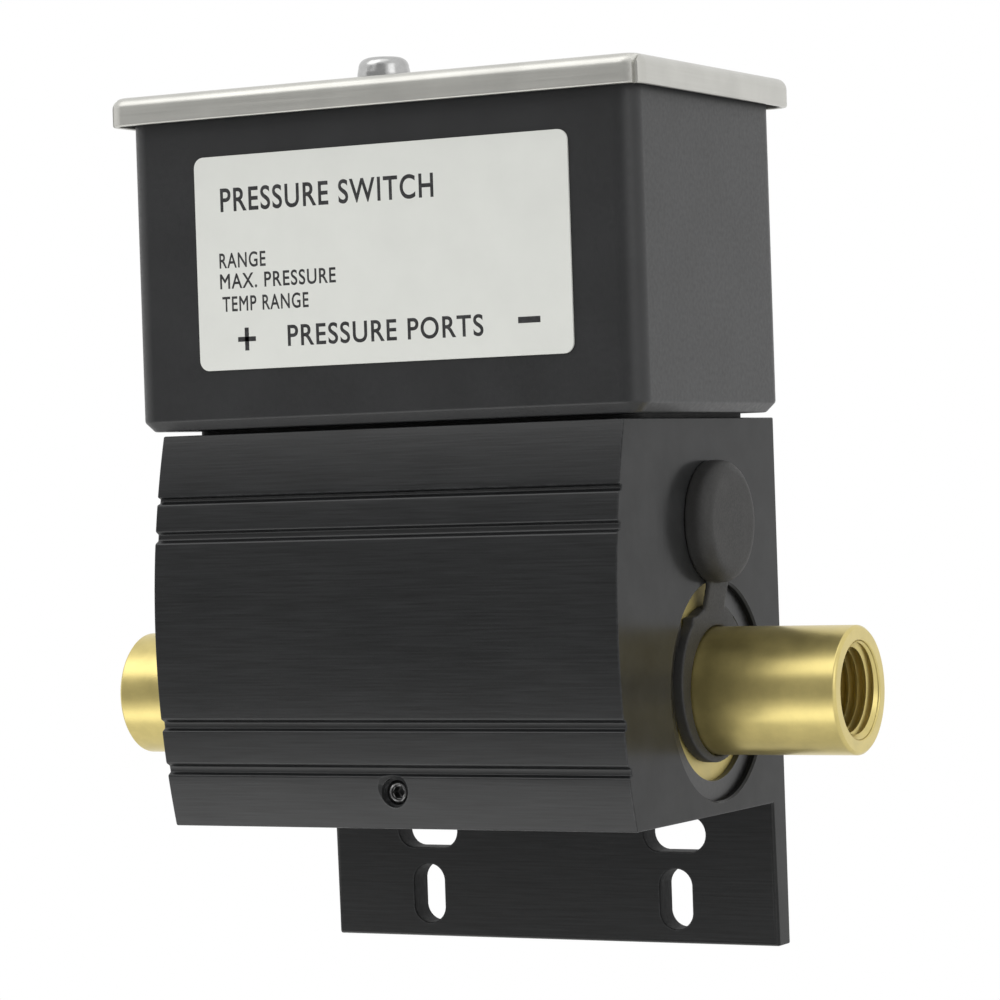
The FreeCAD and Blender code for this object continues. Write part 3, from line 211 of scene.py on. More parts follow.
def pick(piece, kind, test):
    """Selects the vertices, edges or faces of the open mesh that pass a test."""
    bpy.ops.mesh.select_mode(type=kind)
    bpy.ops.mesh.select_all(action="DESELECT")
    mesh = bmesh.from_edit_mesh(piece.data)
    mesh.normal_update()
    parts = {"VERT": mesh.verts, "EDGE": mesh.edges, "FACE": mesh.faces}[kind]
    chosen = [part for part in parts if test(part)]
    if not chosen:
        raise RuntimeError(f"nothing to select on {piece.name}")
    for part in chosen:
        part.select_set(True)
    mesh.select_flush_mode()
    bmesh.update_edit_mesh(piece.data)


def pull(offset):
    """Extrudes what is selected."""
    bpy.ops.mesh.extrude_region_move(TRANSFORM_OT_translate={"value": offset})


def fix_place():
    """Puts the active piece's place into its mesh."""
    bpy.ops.object.transform_apply(location=True, rotation=True, scale=True)


def draw(name, points):
    """A line from point to point: a plane merged to one vertex and extruded along, left open in edit mode."""
    deselect()
    bpy.ops.mesh.primitive_plane_add(size=0.001, location=points[0])
    piece = bpy.context.object
    piece.name = name
    fix_place()
    bpy.ops.object.mode_set(mode="EDIT")
    bpy.ops.mesh.select_mode(type="VERT")
    bpy.ops.mesh.select_all(action="SELECT")
    bpy.ops.mesh.merge(type="CENTER")
    for here, there in zip(points, points[1:]):
        pull(Vector(there) - Vector(here))
    return piece


def fill(name, outline):
    """A drawn outline with its face, left open in edit mode."""
    piece = draw(name, outline + outline[:1])
    weld()
    bpy.ops.mesh.edge_face_add()
    return piece


def prism(name, outline, offset):
    """A filled outline, extruded."""
    piece = fill(name, outline)
    pull(offset)
    close_mesh()
    return piece


SIDE = {"X": Vector((0, 0, 1)), "Y": Vector((1, 0, 0)), "Z": Vector((1, 0, 0))}
ALONG = {"X": Vector((1, 0, 0)), "Y": Vector((0, 1, 0)), "Z": Vector((0, 0, 1))}


def turn(name, centre, axis, outline, steps=96):
    """A drawn outline of (along, radius) pairs, spun once about an axis through the centre."""
    centre = Vector(centre)
    piece = draw(name, [centre + ALONG[axis] * along + SIDE[axis] * radius for along, radius in outline])
    bpy.ops.mesh.select_all(action="SELECT")
    bpy.ops.mesh.spin(steps=steps, angle=math.tau, center=centre, axis=ALONG[axis], use_auto_merge=True)
    close_mesh()
    return piece


def rod(name, centre, axis, start, end, radius, steps):
    """A plain round bar."""
    return turn(name, centre, axis, [(start, 0), (start, radius), (end, radius), (end, 0)], steps)


def block(name, low, high):
    """A cube at its size and place."""
    deselect()
    low, high = Vector(low), Vector(high)
    bpy.ops.mesh.primitive_cube_add(size=1.0, location=(low + high) / 2, scale=high - low)
    piece = bpy.context.object
    piece.name = name
    fix_place()
    return piece


def upright(edge):
    """An edge that runs along Z."""
    a, b = edge.verts
    return abs(a.co.x - b.co.x) < NEAR and abs(a.co.y - b.co.y) < NEAR


def level(height):
    """A test for edges that lie at a height."""
    return lambda edge: all(abs(v.co.z - height) < NEAR for v in edge.verts)


def bevel(offset, segments):
    """Bevels the selected edges."""
    bpy.ops.mesh.bevel(offset=offset, offset_type="OFFSET", segments=segments, profile=0.5, affect="EDGES")


def rounded_block(name, low, high, corner, segments=10):
    """A block whose upright corners are rounded, left open in edit mode."""
    piece = block(name, low, high)
    bpy.ops.object.mode_set(mode="EDIT")
    pick(piece, "EDGE", upright)
    bevel(corner, segments)
    return piece


def join(piece, *others):
    """Joins other pieces into this one as they are."""
    take(piece)
    for other in others:
        other.select_set(True)
    bpy.ops.object.join()


def modify(piece, kind, **settings):
    """Gives a piece a modifier and applies it."""
    take(piece)
    bpy.ops.object.modifier_add(type=kind)
    modifier = piece.modifiers[-1]
    for name, value in settings.items():
        setattr(modifier, name, value)
    bpy.ops.object.modifier_apply(modifier=modifier.name)


def cut(piece, *tools, operation="DIFFERENCE"):
    """Cuts tools out of a piece, or adds them to it, and removes them."""
    for tool in tools:
        modify(piece, "BOOLEAN", operation=operation, solver="EXACT", object=tool)
        take(tool)
        bpy.ops.object.delete()
    take(piece)


def break_edges(piece, width, segments=2, degrees=30):
    """Rounds all sharp edges a little."""
    modify(piece, "BEVEL", width=width, segments=segments, limit_method="ANGLE",
           angle_limit=math.radians(degrees))


def smooth(piece, degrees=35):
    """Smooth shading up to an angle, with flat faces kept flat by weighted normals."""
    take(piece)
    bpy.ops.object.shade_smooth_by_angle(angle=math.radians(degrees))
    modify(piece, "WEIGHTED_NORMAL", keep_sharp=True)


def copy_of(piece, name):
    """A copy with its own mesh."""
    take(piece)
    bpy.ops.object.duplicate()
    copy = bpy.context.object
    copy.name = name
    return copy


def dress(piece, *finishes):
    """Gives a piece its finishes, the first of them all over."""
    piece.data.materials.clear()
    for material in finishes:
        piece.data.materials.append(material)


def paint(piece, number, test):
    """Gives the faces that pass a test another of the piece's finishes."""
    open_mesh(piece)
    pick(piece, "FACE", test)
    piece.active_material_index = number
    bpy.ops.object.material_slot_assign()
    bpy.ops.object.mode_set(mode="OBJECT")


def settle(piece, body, slot, *nodes):
    """Lets a piece ride on its body and stand for its CAD nodes."""
    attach(piece, body)
    if nodes:
        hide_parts(*nodes)


def wind(name, outline, pitch, turns, steps=48):
    """A drawn section wound round X by a Screw modifier and closed at both ends."""
    ridge = draw(name, outline + outline[:1])
    weld()
    modify(ridge, "SCREW", axis="X", angle=math.tau, screw_offset=pitch, iterations=turns, steps=steps,
           render_steps=steps, use_merge_vertices=False)
    open_mesh(ridge)
    bpy.ops.mesh.select_all(action="SELECT")
    bpy.ops.mesh.fill_holes(sides=0)
    close_mesh()
    return ridge


def wind_thread(name, crest, root, pitch, turns):
    """A helical ridge round X from the origin, its foot a little inside the wall."""
    half, tip, base = pitch * 0.44, pitch * 0.06, root + 0.00012
    return wind(name, [(-half, 0, base), (-tip, 0, crest), (tip, 0, crest), (half, 0, base)], pitch, turns)


def carry(piece, offset):
    """Moves a piece's mesh, and leaves its object at the origin."""
    take(piece)
    bpy.ops.transform.translate(value=offset)
    fix_place()


def half_turn(piece, centre):
    """Turns a piece's mesh half round an upright line."""
    take(piece)
    bpy.ops.transform.rotate(value=math.pi, orient_axis="Z", center_override=centre)
    fix_place()


# Finishes


class NodeTree:
    """Short ways to fill a node tree."""

    def __init__(self, tree):
        self.nodes = tree.nodes
        self.links = tree.links

    def feed(self, node, name, value):
        """Links a socket, or sets its value."""
        socket = node.inputs[name]
        if isinstance(value, bpy.types.NodeSocket):
            self.links.new(value, socket)
        else:
            socket.default_value = value

    def node(self, kind, **inputs):
        made = self.nodes.new(kind)
        for name, value in inputs.items():
            self.feed(made, name.replace("_", " "), value)
        return made

    def result(self, kind, operation, *values):
        """The result of a math node."""
        made = self.nodes.new(kind)
        made.operation = operation
        for number, value in enumerate(values):
            self.feed(made, number, value)
        return made.outputs["Value"]


class Finish(NodeTree):
    """A node material on Object coordinates."""

    def __init__(self, name, base, metallic, roughness, specular=0.5):
        self.material = bpy.data.materials.new(name)
        self.material.use_nodes = True
        super().__init__(self.material.node_tree)
        self.shader = self.nodes["Principled BSDF"]
        self.base = Vector(base)
        self.feed(self.shader, "Base Color", (*base, 1.0))
        self.feed(self.shader, "Metallic", metallic)
        self.feed(self.shader, "Roughness", roughness)
        self.feed(self.shader, "Specular IOR Level", specular)
        self.place = self.nodes.new("ShaderNodeTexCoord").outputs["Object"]

    def mapped(self, stretch, centre=(0, 0, 0)):
        """Object coordinates about a centre, multiplied per metre along each axis."""
        shift = [-c * s for c, s in zip(centre, stretch)]
        made = self.node("ShaderNodeMapping", Vector=self.place, Location=shift, Scale=stretch)
        return made.outputs["Vector"]

    def texture(self, vector, detail, rough):
        return self.node("ShaderNodeTexNoise", Vector=vector, Scale=1.0, Detail=detail,
                         Roughness=rough).outputs["Fac"]

    def noise(self, stretch, detail=4.0, rough=0.55):
        """Noise stretched per metre along each axis, or by one number along all."""
        if not isinstance(stretch, tuple):
            stretch = (stretch, stretch, stretch)
        return self.texture(self.mapped(stretch), detail, rough)

    def lathe(self, centre, scale):
        """Noise in rings: it changes along X and with the distance from an axis along X."""
        parts = self.node("ShaderNodeSeparateXYZ", Vector=self.mapped((scale, scale, scale), centre)).outputs
        across = self.node("ShaderNodeCombineXYZ", Y=parts["Y"], Z=parts["Z"])
        distance = self.result("ShaderNodeVectorMath", "LENGTH", across.outputs["Vector"])
        rings = self.node("ShaderNodeCombineXYZ", X=parts["X"], Y=distance)
        return self.texture(rings.outputs["Vector"], 2.0, 0.55)

    def spread(self, value, low, high, start=0.3, end=0.7):
        """A noise value brought into a range."""
        return self.node("ShaderNodeMapRange", Value=value, From_Min=start, From_Max=end, To_Min=low,
                         To_Max=high).outputs["Result"]

    def tint(self, value, dark, light, start=0.3, end=0.7):
        """The base colour times two strengths, blended by a value."""
        ramp = self.node("ShaderNodeValToRGB", Fac=value)
        for stop, position, strength in zip(ramp.color_ramp.elements, (start, end), (dark, light)):
            stop.position = position
            stop.color = (*(self.base * strength), 1.0)
        return ramp.outputs["Color"]

    def worn(self, under, edge, radius, amount):
        """Another colour along edges, found by the difference of a rounded normal."""
        rounded = self.node("ShaderNodeBevel", Radius=radius)
        rounded.samples = 4
        plain = self.nodes.new("ShaderNodeNewGeometry").outputs["Normal"]
        alike = self.result("ShaderNodeVectorMath", "DOT_PRODUCT", rounded.outputs["Normal"], plain)
        mask = self.spread(alike, amount, 0.0, 0.75, 0.985)
        patchy = self.spread(self.noise(900, 3.0), 0.25, 1.0, 0.4, 0.62)
        mix = self.nodes.new("ShaderNodeMix")
        mix.data_type = "RGBA"
        colour_a, colour_b, result = 6, 7, 2
        self.feed(mix, "Factor", self.result("ShaderNodeMath", "MULTIPLY", mask, patchy))
        self.feed(mix, colour_a, under)
        self.feed(mix, colour_b, (*edge, 1.0))
        return mix.outputs[result]

    def skin(self, base, roughness, relief=None, strength=0.0, distance=0.0):
        """Links colour, roughness and a fine relief to the shader, and gives the material."""
        self.feed(self.shader, "Base Color", base)
        self.feed(self.shader, "Roughness", roughness)
        if relief is not None:
            bump = self.node("ShaderNodeBump", Strength=strength, Distance=distance, Height=relief)
            self.feed(self.shader, "Normal", bump.outputs["Normal"])
        return self.material


def anodised_long(colours, name, specular):
    """Black anodised extrusion: fine die lines along X, slightly cloudy, edges rubbed paler."""
    f = Finish(name, colours.anodised, 0.0, 0.3, specular)
    lines = f.noise((110, 3600, 3600))
    cloud = f.noise((70, 150, 150))
    base = f.worn(f.tint(lines, 0.5, 1.6), (0.09, 0.092, 0.095), 0.0005, 0.7)
    return f.skin(base, f.spread(cloud, 0.28, 0.36), lines, 0.3, 0.00003)


def anodised_cut(colours):
    """Black anodised cut face: faint saw lines, glossier than the drawn faces."""
    f = Finish("black_anodised_cut", colours.cut_end, 0.0, 0.22, 0.11)
    lines = f.noise((500, 2600, 160), 3.0)
    base = f.worn(f.tint(f.noise(160), 0.82, 1.2), (0.11, 0.112, 0.115), 0.0005, 0.7)
    return f.skin(base, f.spread(lines, 0.17, 0.25), lines, 0.12, 0.00002)


def anodised_bored(colours):
    """Black anodised walls of bores and slots: dull, with fine tool rings."""
    f = Finish("black_anodised_bored", colours.anodised, 0.0, 0.6, 0.15)
    lines = f.noise((3000, 3000, 700), 3.0)
    return f.skin(f.tint(lines, 0.7, 1.2), f.spread(lines, 0.5, 0.7), lines, 0.15, 0.00003)


def satin_coat(colours):
    """Fine satin coat on the cast housing, with a little orange peel and rubbed edges."""
    f = Finish("satin_black_coat", colours.coat, 0.0, 0.4)
    peel = f.noise(1500, 3.0, 0.6)
    base = f.worn(f.tint(f.noise(95), 0.8, 1.22), (0.085, 0.085, 0.085), 0.0006, 0.6)
    return f.skin(base, f.spread(peel, 0.34, 0.46), peel, 0.16, 0.00006)


def turned_brass(colours, name, metallic, smoothest, roughest):
    """Turned brass with lathe rings round the port axis."""
    f = Finish(name, colours.brass, metallic, smoothest)
    stain = f.noise(240, 5.0, 0.6)
    return f.skin(f.tint(stain, 0.9, 1.06, 0.32, 0.68), f.spread(stain, smoothest, roughest),
                  f.lathe(PORT_AXIS, 1700), 0.1, 0.000004)


def satin_stainless(colours, name, stretch):
    """Brushed stainless sheet, its lines along the axis of the smallest stretch."""
    f = Finish(name, colours.stainless, 0.8, 0.3)
    lines = f.noise(stretch, 2.0)
    return f.skin(f.tint(f.noise(110), 0.92, 1.06), f.spread(lines, 0.28, 0.40), lines, 0.05, 0.00003)


def screw_stainless(colours):
    """Smooth stainless screw heads with light forging marks."""
    f = Finish("screw_stainless", colours.screw, 1.0, 0.24)
    marks = f.noise(420)
    return f.skin(f.tint(marks, 0.88, 1.12), f.spread(f.noise(2600, 2.0), 0.2, 0.27), marks, 0.2, 0.0001)


def black_oxide(colours, name, edge, reach):
    """Black oxide on steel, rubbed bright along its edges by an edge colour; where that colour is near white,
    as on the lock screw, it is also a painted highlight.
    """
    f = Finish(name, colours.oxide, 0.85, 0.35)
    marks = f.noise(1500)
    base = f.worn(f.tint(marks, 0.7, 1.3), (edge, edge, edge), reach, 0.9)
    return f.skin(base, f.spread(marks, 0.28, 0.42))


def moulded_rubber(colours):
    """Matt black rubber, finely pitted and a little dusty."""
    f = Finish("moulded_rubber", colours.rubber, 0.0, 0.62)
    pits = f.noise(3200, 3.0, 0.6)
    dust = f.noise(190, 5.0, 0.6)
    return f.skin(f.tint(dust, 0.75, 1.35), f.spread(pits, 0.55, 0.72), pits, 0.2, 0.00008)


def label_film(colours):
    """Off-white film with a faint mottle."""
    f = Finish("label_film", colours.film, 0.0, 0.4)
    fine = f.noise(2500, 2.0)
    return f.skin(f.tint(f.noise(130, 5.0), 0.975, 1.02), f.spread(fine, 0.36, 0.46), fine, 0.06, 0.00003)


def label_ink(colours):
    """Printing with slightly uneven cover."""
    f = Finish("label_ink", colours.ink, 0.0, 0.45)
    cover = f.noise(1800, 3.0)
    return f.skin(f.tint(cover, 0.8, 2.4, 0.45, 0.8), f.spread(cover, 0.4, 0.55))


def grained(name, base, metallic, roughness, stretch, depth):
    """A plain finish with grain in its colour, gloss and surface, for the pieces inside."""
    f = Finish(name, base, metallic, roughness)
    grain = f.noise(stretch)
    gloss = f.spread(grain, roughness - 0.08, roughness + 0.08)
    return f.skin(f.tint(grain, 0.82, 1.16), gloss, grain, 0.2, depth)


def spring_wire():
    """Drawn spring steel."""
    return grained("drawn_spring_wire", (0.32, 0.32, 0.33), 1.0, 0.37, 2600, 0.00003)


def inner_finishes(colours):
    """Finishes of the CAD nodes that stay, by material slot."""
    drawn = (300, 3000, 3000)
    return {
        "plated_steel": grained("zinc_plate", (0.58, 0.59, 0.60), 1.0, 0.37, 1400, 0.00004),
        "spring_steel": spring_wire(),
        "ground_green": grained("green_dyed_zinc", (0.05, 0.30, 0.10), 0.6, 0.36, 1400, 0.00004),
        "cast_aluminium": grained("machined_aluminium", (0.55, 0.56, 0.57), 1.0, 0.36, drawn, 0.00003),
        "gasket": grained("cut_sheet_rubber", (0.035, 0.035, 0.035), 0.0, 0.7, 2200, 0.00008),
        "switch_plastic": grained("brown_phenolic", (0.09, 0.035, 0.02), 0.0, 0.42, 1000, 0.00005),
        "plunger_plastic": grained("pale_moulding", (0.75, 0.74, 0.70), 0.0, 0.45, 1600, 0.00003),
        "black_oxide": black_oxide(colours, "black_oxide", 0.3, 0.0003),
        "brass": turned_brass(colours, "brass", 0.9, 0.28, 0.33),
        "rubber": moulded_rubber(colours),
    }


# Pieces


def lever_way(bottom, top):
    """A cutter for the lever's way from the body into the housing."""
    half, front, back = 0.007, -0.032, -0.016
    return block("lever_way", (-half, front, bottom), (half, back, top))


class SWITCH_OT_body(bpy.types.Operator):
    """Extruded body: curved grooved front, mounting plate with slots, bores and lock mouth"""

    bl_idname = "pressure_switch.body"
    bl_label = "Body extrusion"

    def execute(self, context):
        sizes = context.scene.switch_sizes
        body = prism("body", self.section(sizes), (BODY_HIGH.x - BODY_LOW.x, 0, 0))
        open_mesh(body)
        pick(body, "EDGE", lambda edge: (all(abs(v.co.y + sizes.plate) < NEAR for v in edge.verts)
                                         and min(v.co.z for v in edge.verts) < BODY_LOW.z + NEAR))
        bevel(sizes.plate_edge, 3)
        close_mesh()
        break_edges(body, sizes.body_edge)
        cut(body, *self.bores(sizes), *self.slots(sizes))
        colours = context.scene.switch_colours
        dress(body, anodised_long(colours, "black_anodised_drawn", 0.42), anodised_cut(colours),
              anodised_bored(colours), anodised_long(colours, "black_anodised_plate", 0.28))
        paint(body, 1, lambda face: abs(face.normal.x) > 0.6)
        paint(body, 2, lambda face: self.bored(sizes, face))
        paint(body, 3, lambda face: (face.normal.y < -0.9
                                     and face.calc_center_median().y > -sizes.plate - 0.0001))
        smooth(body)
        settle(body, "switch_body", "body_anodised", "body_extrusion")
        return {"FINISHED"}

    def front(self, sizes, z):
        """Place of the curved front at a height."""
        rise = z - sizes.front_height
        return sizes.front_radius - sizes.front_reach - math.sqrt(sizes.front_radius ** 2 - rise ** 2)

    def section(self, sizes):
        """The outline at the left end, from the top down the grooved front to the plate's foot."""
        grooves = [(0.0308, 0.0011), (0.0253, 0.0018), (-0.0030, 0.0018), (-0.0097, 0.0018)]
        steps, clear = 36, 0.0005
        heights = []
        for step in range(steps + 1):
            z = BODY_HIGH.z + (-sizes.body_foot - BODY_HIGH.z) * step / steps
            if all(abs(z - middle) > width / 2 + clear for middle, width in grooves):
                heights.append((z, self.front(sizes, z)))
        for middle, width in grooves:
            for share, sunk in ((0.5, 0.0), (0.25, 1.0), (-0.25, 1.0), (-0.5, 0.0)):
                z = middle + width * share
                heights.append((z, self.front(sizes, z) + sizes.groove_depth * sunk))
        heights.sort(reverse=True)
        heights = [(BODY_HIGH.z, 0.0)] + heights
        heights += [(-sizes.body_foot, -sizes.plate), (BODY_LOW.z, -sizes.plate), (BODY_LOW.z, 0.0)]
        return [(BODY_LOW.x, y, z) for z, y in heights]

    def bores(self, sizes):
        """Cutters for the bores, the keyway, the lever's way, the pivot hole and the lock hole."""
        end, lip = BODY_HIGH.x, 0.0003
        bore, groove, hole = sizes.bore, sizes.ring_groove, sizes.adjuster_bore
        inner, outer = sizes.flange_face, sizes.flange_face + sizes.ring_width
        half = [(inner, bore), (inner, groove), (outer, groove), (outer, bore), (end - lip, bore),
                (end + OVER, bore + lip + OVER), (end + OVER, 0)]
        key_half, key_end, key_top = 0.0012, 0.03305, 0.0324
        pin, lock, lock_mouth, lock_lip = 0.00152, 0.00184, 0.0022, 0.00025
        mouth = self.front(sizes, LOCK_AXIS.z)
        return [
            turn("bore", PORT_AXIS, "X", [(-x, r) for x, r in reversed(half)] + half, 128),
            turn("adjuster_bore", PLUG_AXIS, "X", [
                (0, 0), (0, hole), (end - lip, hole), (end + OVER, hole + lip + OVER), (end + OVER, 0)], 64),
            block("keyway", (0.0, PLUG_AXIS.y - key_half, PLUG_AXIS.z),
                  (key_end, PLUG_AXIS.y + key_half, key_top)),
            lever_way(0.0, BODY_HIGH.z + OVER),
            turn("pivot_hole", PIN_AXIS, "Y", [
                (PIN_LOW.y, 0), (PIN_LOW.y, pin), (-lip, pin), (OVER, pin + lip + OVER), (OVER, 0)], 32),
            turn("lock_mouth", LOCK_AXIS, "Y", [
                (LOCK_LOW.y, 0), (LOCK_LOW.y, lock_mouth), (mouth + lock_lip, lock_mouth),
                (mouth - OVER, lock_mouth + lock_lip + OVER), (mouth - OVER, 0)], 48),
            rod("lock_hole", LOCK_AXIS, "Y", LOCK_HIGH.y, LOCK_LOW.y - 0.0001, lock, 48)]

    def slots(self, sizes):
        """Cutters for a lying and a standing slot at each side of the plate."""
        return [self.slot(sizes, x, z, long, standing) for x in (-0.0219, 0.0219)
                for z, long, standing in ((-0.0234, 0.0106, False), (-0.0335, 0.0094, True))]

    def bored(self, sizes, face):
        """Walls of the slots and of the two bores along X."""
        middle = face.calc_center_median()
        if abs(middle.x) > BODY_HIGH.x - 0.0004:
            return False
        if middle.z < -sizes.body_foot - 0.0002:
            return abs(face.normal.y) < 0.5 and middle.z > BODY_LOW.z + 0.001
        bores = ((PORT_AXIS, sizes.ring_groove), (PLUG_AXIS, sizes.adjuster_bore))
        return any(math.hypot(middle.y - axis.y, middle.z - axis.z) < radius + 0.0001
                   for axis, radius in bores)

    def slot(self, sizes, x, z, long, standing):
        """A cutter for a round-ended slot through the plate, widened a little at both mouths."""
        steps, out, mouth, flare = 32, 0.0005, 0.0008, 0.0006
        radius = sizes.slot_width / 2
        reach = long / 2 - radius
        outline = []
        for step in range(steps):
            angle = math.tau * (step + 0.5) / steps
            u, v = radius * math.cos(angle), radius * math.sin(angle)
            u += math.copysign(reach, u)
            across, rise = (v, u) if standing else (u, v)
            outline.append((x + across, out, z + rise))
        tool = fill("slot", outline)
        wide = (1.0 + flare / (sizes.slot_width if standing else long), 1.0,
                1.0 + flare / (long if standing else sizes.slot_width))
        narrow = tuple(1.0 / share for share in wide)
        bpy.ops.transform.resize(value=wide, center_override=(x, 0, z))
        pull((0, -mouth, 0))
        bpy.ops.transform.resize(value=narrow, center_override=(x, 0, z))
        pull((0, 2 * (mouth - out) - sizes.plate, 0))
        pull((0, -mouth, 0))
        bpy.ops.transform.resize(value=wide, center_override=(x, 0, z))
        close_mesh()
        return tool


class SWITCH_OT_ports(bpy.types.Operator):
    """Two turned brass ports with wound inside threads"""

    bl_idname = "pressure_switch.ports"
    bl_label = "Brass ports"

    def execute(self, context):
        sizes = context.scene.switch_sizes
        inner, mouth = PORT_LOW.x, PORT_HIGH.x
        flange, face, tube = sizes.flange, sizes.flange_face, sizes.tube
        root, crest = sizes.thread_root, sizes.thread_crest
        chamber, chamber_end = 0.0125, 0.0168
        groove, groove_start, groove_end = 0.014075, 0.0188, 0.0222
        passage, passage_end, thread_end, thread_start = 0.0035, 0.0439, 0.0467, 0.0475
        edge, corner, past = 0.0003, 0.0004, 0.004
        outline = [
            (inner, chamber), (inner, flange), (groove_start, flange), (groove_start, groove),
            (groove_end, groove), (groove_end, flange), (face - edge, flange), (face, flange - edge),
            (face, tube + corner), (face + 0.00012, tube + 0.00012), (face + corner, tube),
            (mouth - 0.0005, tube), (mouth - 0.00036, tube - 0.00004), (mouth - 0.00004, tube - 0.00036),
            (mouth, tube - 0.0005), (mouth, root + edge), (mouth - 0.00006, root + 0.0002),
            (mouth - edge, root), (thread_end, root), (passage_end, passage), (chamber_end, passage),
            (chamber_end, chamber)]
        right = turn("right_port_turned", PORT_AXIS, "X", outline + outline[:1], 128)
        ridge = wind_thread("port_thread", crest, root, sizes.thread_pitch, 11)
        carry(ridge, PORT_AXIS + Vector((thread_start, 0, 0)))
        apex = mouth - sizes.thread_lead
        cone = turn("mouth_cone", PORT_AXIS, "X", [
            (apex, 0), (mouth + past, mouth + past - apex), (mouth + past, 0)], 128)
        cut(ridge, cone)
        join(right, ridge)
        colours = context.scene.switch_colours
        dress(right, turned_brass(colours, "turned_brass", 0.9, 0.28, 0.33),
              turned_brass(colours, "faced_brass", 0.35, 0.45, 0.55))
        paint(right, 1, lambda face: (face.normal.x > 0.95
                                      and groove_end < face.calc_center_median().x < BODY_HIGH.x))
        smooth(right, 40)
        left = copy_of(right, "left_port_turned")
        half_turn(left, PORT_AXIS)
        settle(right, "switch_body", "brass", "right_port")
        settle(left, "switch_body", "brass", "left_port")
        return {"FINISHED"}


class SWITCH_OT_retainers(bpy.types.Operator):
    """Snap rings in front of the ports, open where the plug's strap passes"""

    bl_idname = "pressure_switch.retainers"
    bl_label = "Snap rings"

    def execute(self, context):
        thickness, section, gap_back, gap_wide, gap_top = 0.001, 0.0038, 0.00355, 0.013, 0.02
        outer = RETAINER_HIGH.x
        inner = outer - thickness
        large = RETAINER_HIGH.y - PORT_AXIS.y
        small = large - section
        half = [(inner, small), (outer, small), (outer, large), (inner, large)]
        right = turn("snap_rings", PORT_AXIS, "X", half + half[:1], 128)
        back = (PORT_AXIS.y + PLUG_AXIS.y) / 2 + gap_back
        cut(right, block("ring_opening", (inner - OVER, back - gap_wide, 0), (outer + OVER, back, gap_top)))
        break_edges(right, 0.00012)
        left = copy_of(right, "left_snap_ring")
        open_mesh(left)
        bpy.ops.mesh.select_all(action="SELECT")
        bpy.ops.transform.resize(value=(-1, 1, 1), center_override=(0, 0, 0))
        close_mesh()
        join(right, left)
        dress(right, black_oxide(context.scene.switch_colours, "ring_oxide", 0.2, 0.0002))
        smooth(right)
        settle(right, "switch_body", "black_oxide", "port_retainers")
        return {"FINISHED"}


class SWITCH_OT_plug(bpy.types.Operator):
    """Rubber plug over the set point screw, with its strap and the loop round the port"""

    bl_idname = "pressure_switch.plug"
    bl_label = "Rubber plug"

    def execute(self, context):
        sizes = context.scene.switch_sizes
        back, top, radius, edge = 0.03905, PLUG_HIGH.x, sizes.plug_disc, sizes.plug_round
        stem, lead, dome, steps = 0.00585, 0.0006, 0.0001, 8
        outline = [(PLUG_LOW.x, 0), (PLUG_LOW.x, 0.0055), (PLUG_LOW.x + lead, stem), (back, stem),
                   (back, radius), (top - edge - dome, radius)]
        for step in range(1, steps + 1):
            angle = math.pi / 2 * step / steps
            outline.append((top - dome - edge * (1 - math.sin(angle)), radius - edge * (1 - math.cos(angle))))
        outline.append((top, 0))
        plug = turn("adjuster_plug_moulded", PLUG_AXIS, "X", outline, 96)
        inner, outer, small, large = 0.03715, 0.03900, 0.0082, 0.0117
        ring = [(inner, small), (inner, large), (outer, large), (outer, small)]
        hang = Vector((0, -0.0009, 0.0011))
        loop = turn("loop", PORT_AXIS + hang, "X", ring + ring[:1], 96)
        middle, half = (PORT_AXIS.y + PLUG_AXIS.y) / 2, 0.00325
        face, cap_foot, cap_in = 0.03985, 0.015575, 0.0173
        side = [(inner, 0.0106), (outer, 0.0106), (outer, 0.01195), (face, cap_foot), (face, cap_in),
                (back, cap_in), (back, cap_foot), (outer - 0.0008, 0.0122), (inner, 0.0112)]
        strap = prism("strap", [(x, middle - half, z) for x, z in side], (0, half * 2, 0))
        neck = [(middle - 0.0078, 0.0090), (middle + 0.0074, 0.0085), (middle + 0.0062, 0.0112),
                (middle + half, 0.0128), (middle - half, 0.0118), (middle - 0.0074, 0.0112)]
        fillet = prism("neck", [(inner, y, z) for y, z in neck], (outer - inner, 0, 0))
        cut(plug, loop, strap, fillet, operation="UNION")
        cut(plug, rod("tube_way", PORT_AXIS, "X", 0.03, 0.045, sizes.tube + 0.00015, 96))
        modify(plug, "REMESH", mode="VOXEL", voxel_size=sizes.plug_voxel)
        modify(plug, "SMOOTH", factor=0.5, iterations=4)
        bpy.ops.object.shade_smooth()
        dress(plug, moulded_rubber(context.scene.switch_colours))
        settle(plug, "plug_set", "rubber", "adjuster_plug")
        return {"FINISHED"}


class SWITCH_OT_lock_screw(bpy.types.Operator):
    """Socket set screw in the body's front"""

    bl_idname = "pressure_switch.lock_screw"
    bl_label = "Lock screw"

    def execute(self, context):
        face, end = LOCK_LOW.y, LOCK_HIGH.y
        radius, tip, key = 0.0018, 0.0004, 0.00104
        screw = turn("lock_screw_turned", LOCK_AXIS, "Y", [
            (face + 0.0004, 0), (face + 0.0004, 0.0010), (face + 0.00012, 0.00112), (face, 0.0013),
            (face + 0.0001, 0.0015), (face + 0.0005, radius), (end - tip, radius), (end, radius - tip),
            (end, 0)], 64)
        corners = [math.tau * step / 6 for step in range(6)]
        outline = [(key * math.cos(a), face - OVER, LOCK_AXIS.z + key * math.sin(a)) for a in corners]
        cut(screw, prism("hex_socket", outline, (0, 0.003, 0)))
        # The near-white edge colour paints the screw's rim: partly bare steel rubbed through the oxide, partly
        # a painted highlight.
        dress(screw, black_oxide(context.scene.switch_colours, "rubbed_oxide_with_painted_rim_highlight", 0.95, 0.0006))
        smooth(screw, 30)
        settle(screw, "switch_body", "black_oxide", "lock_screw")
        return {"FINISHED"}


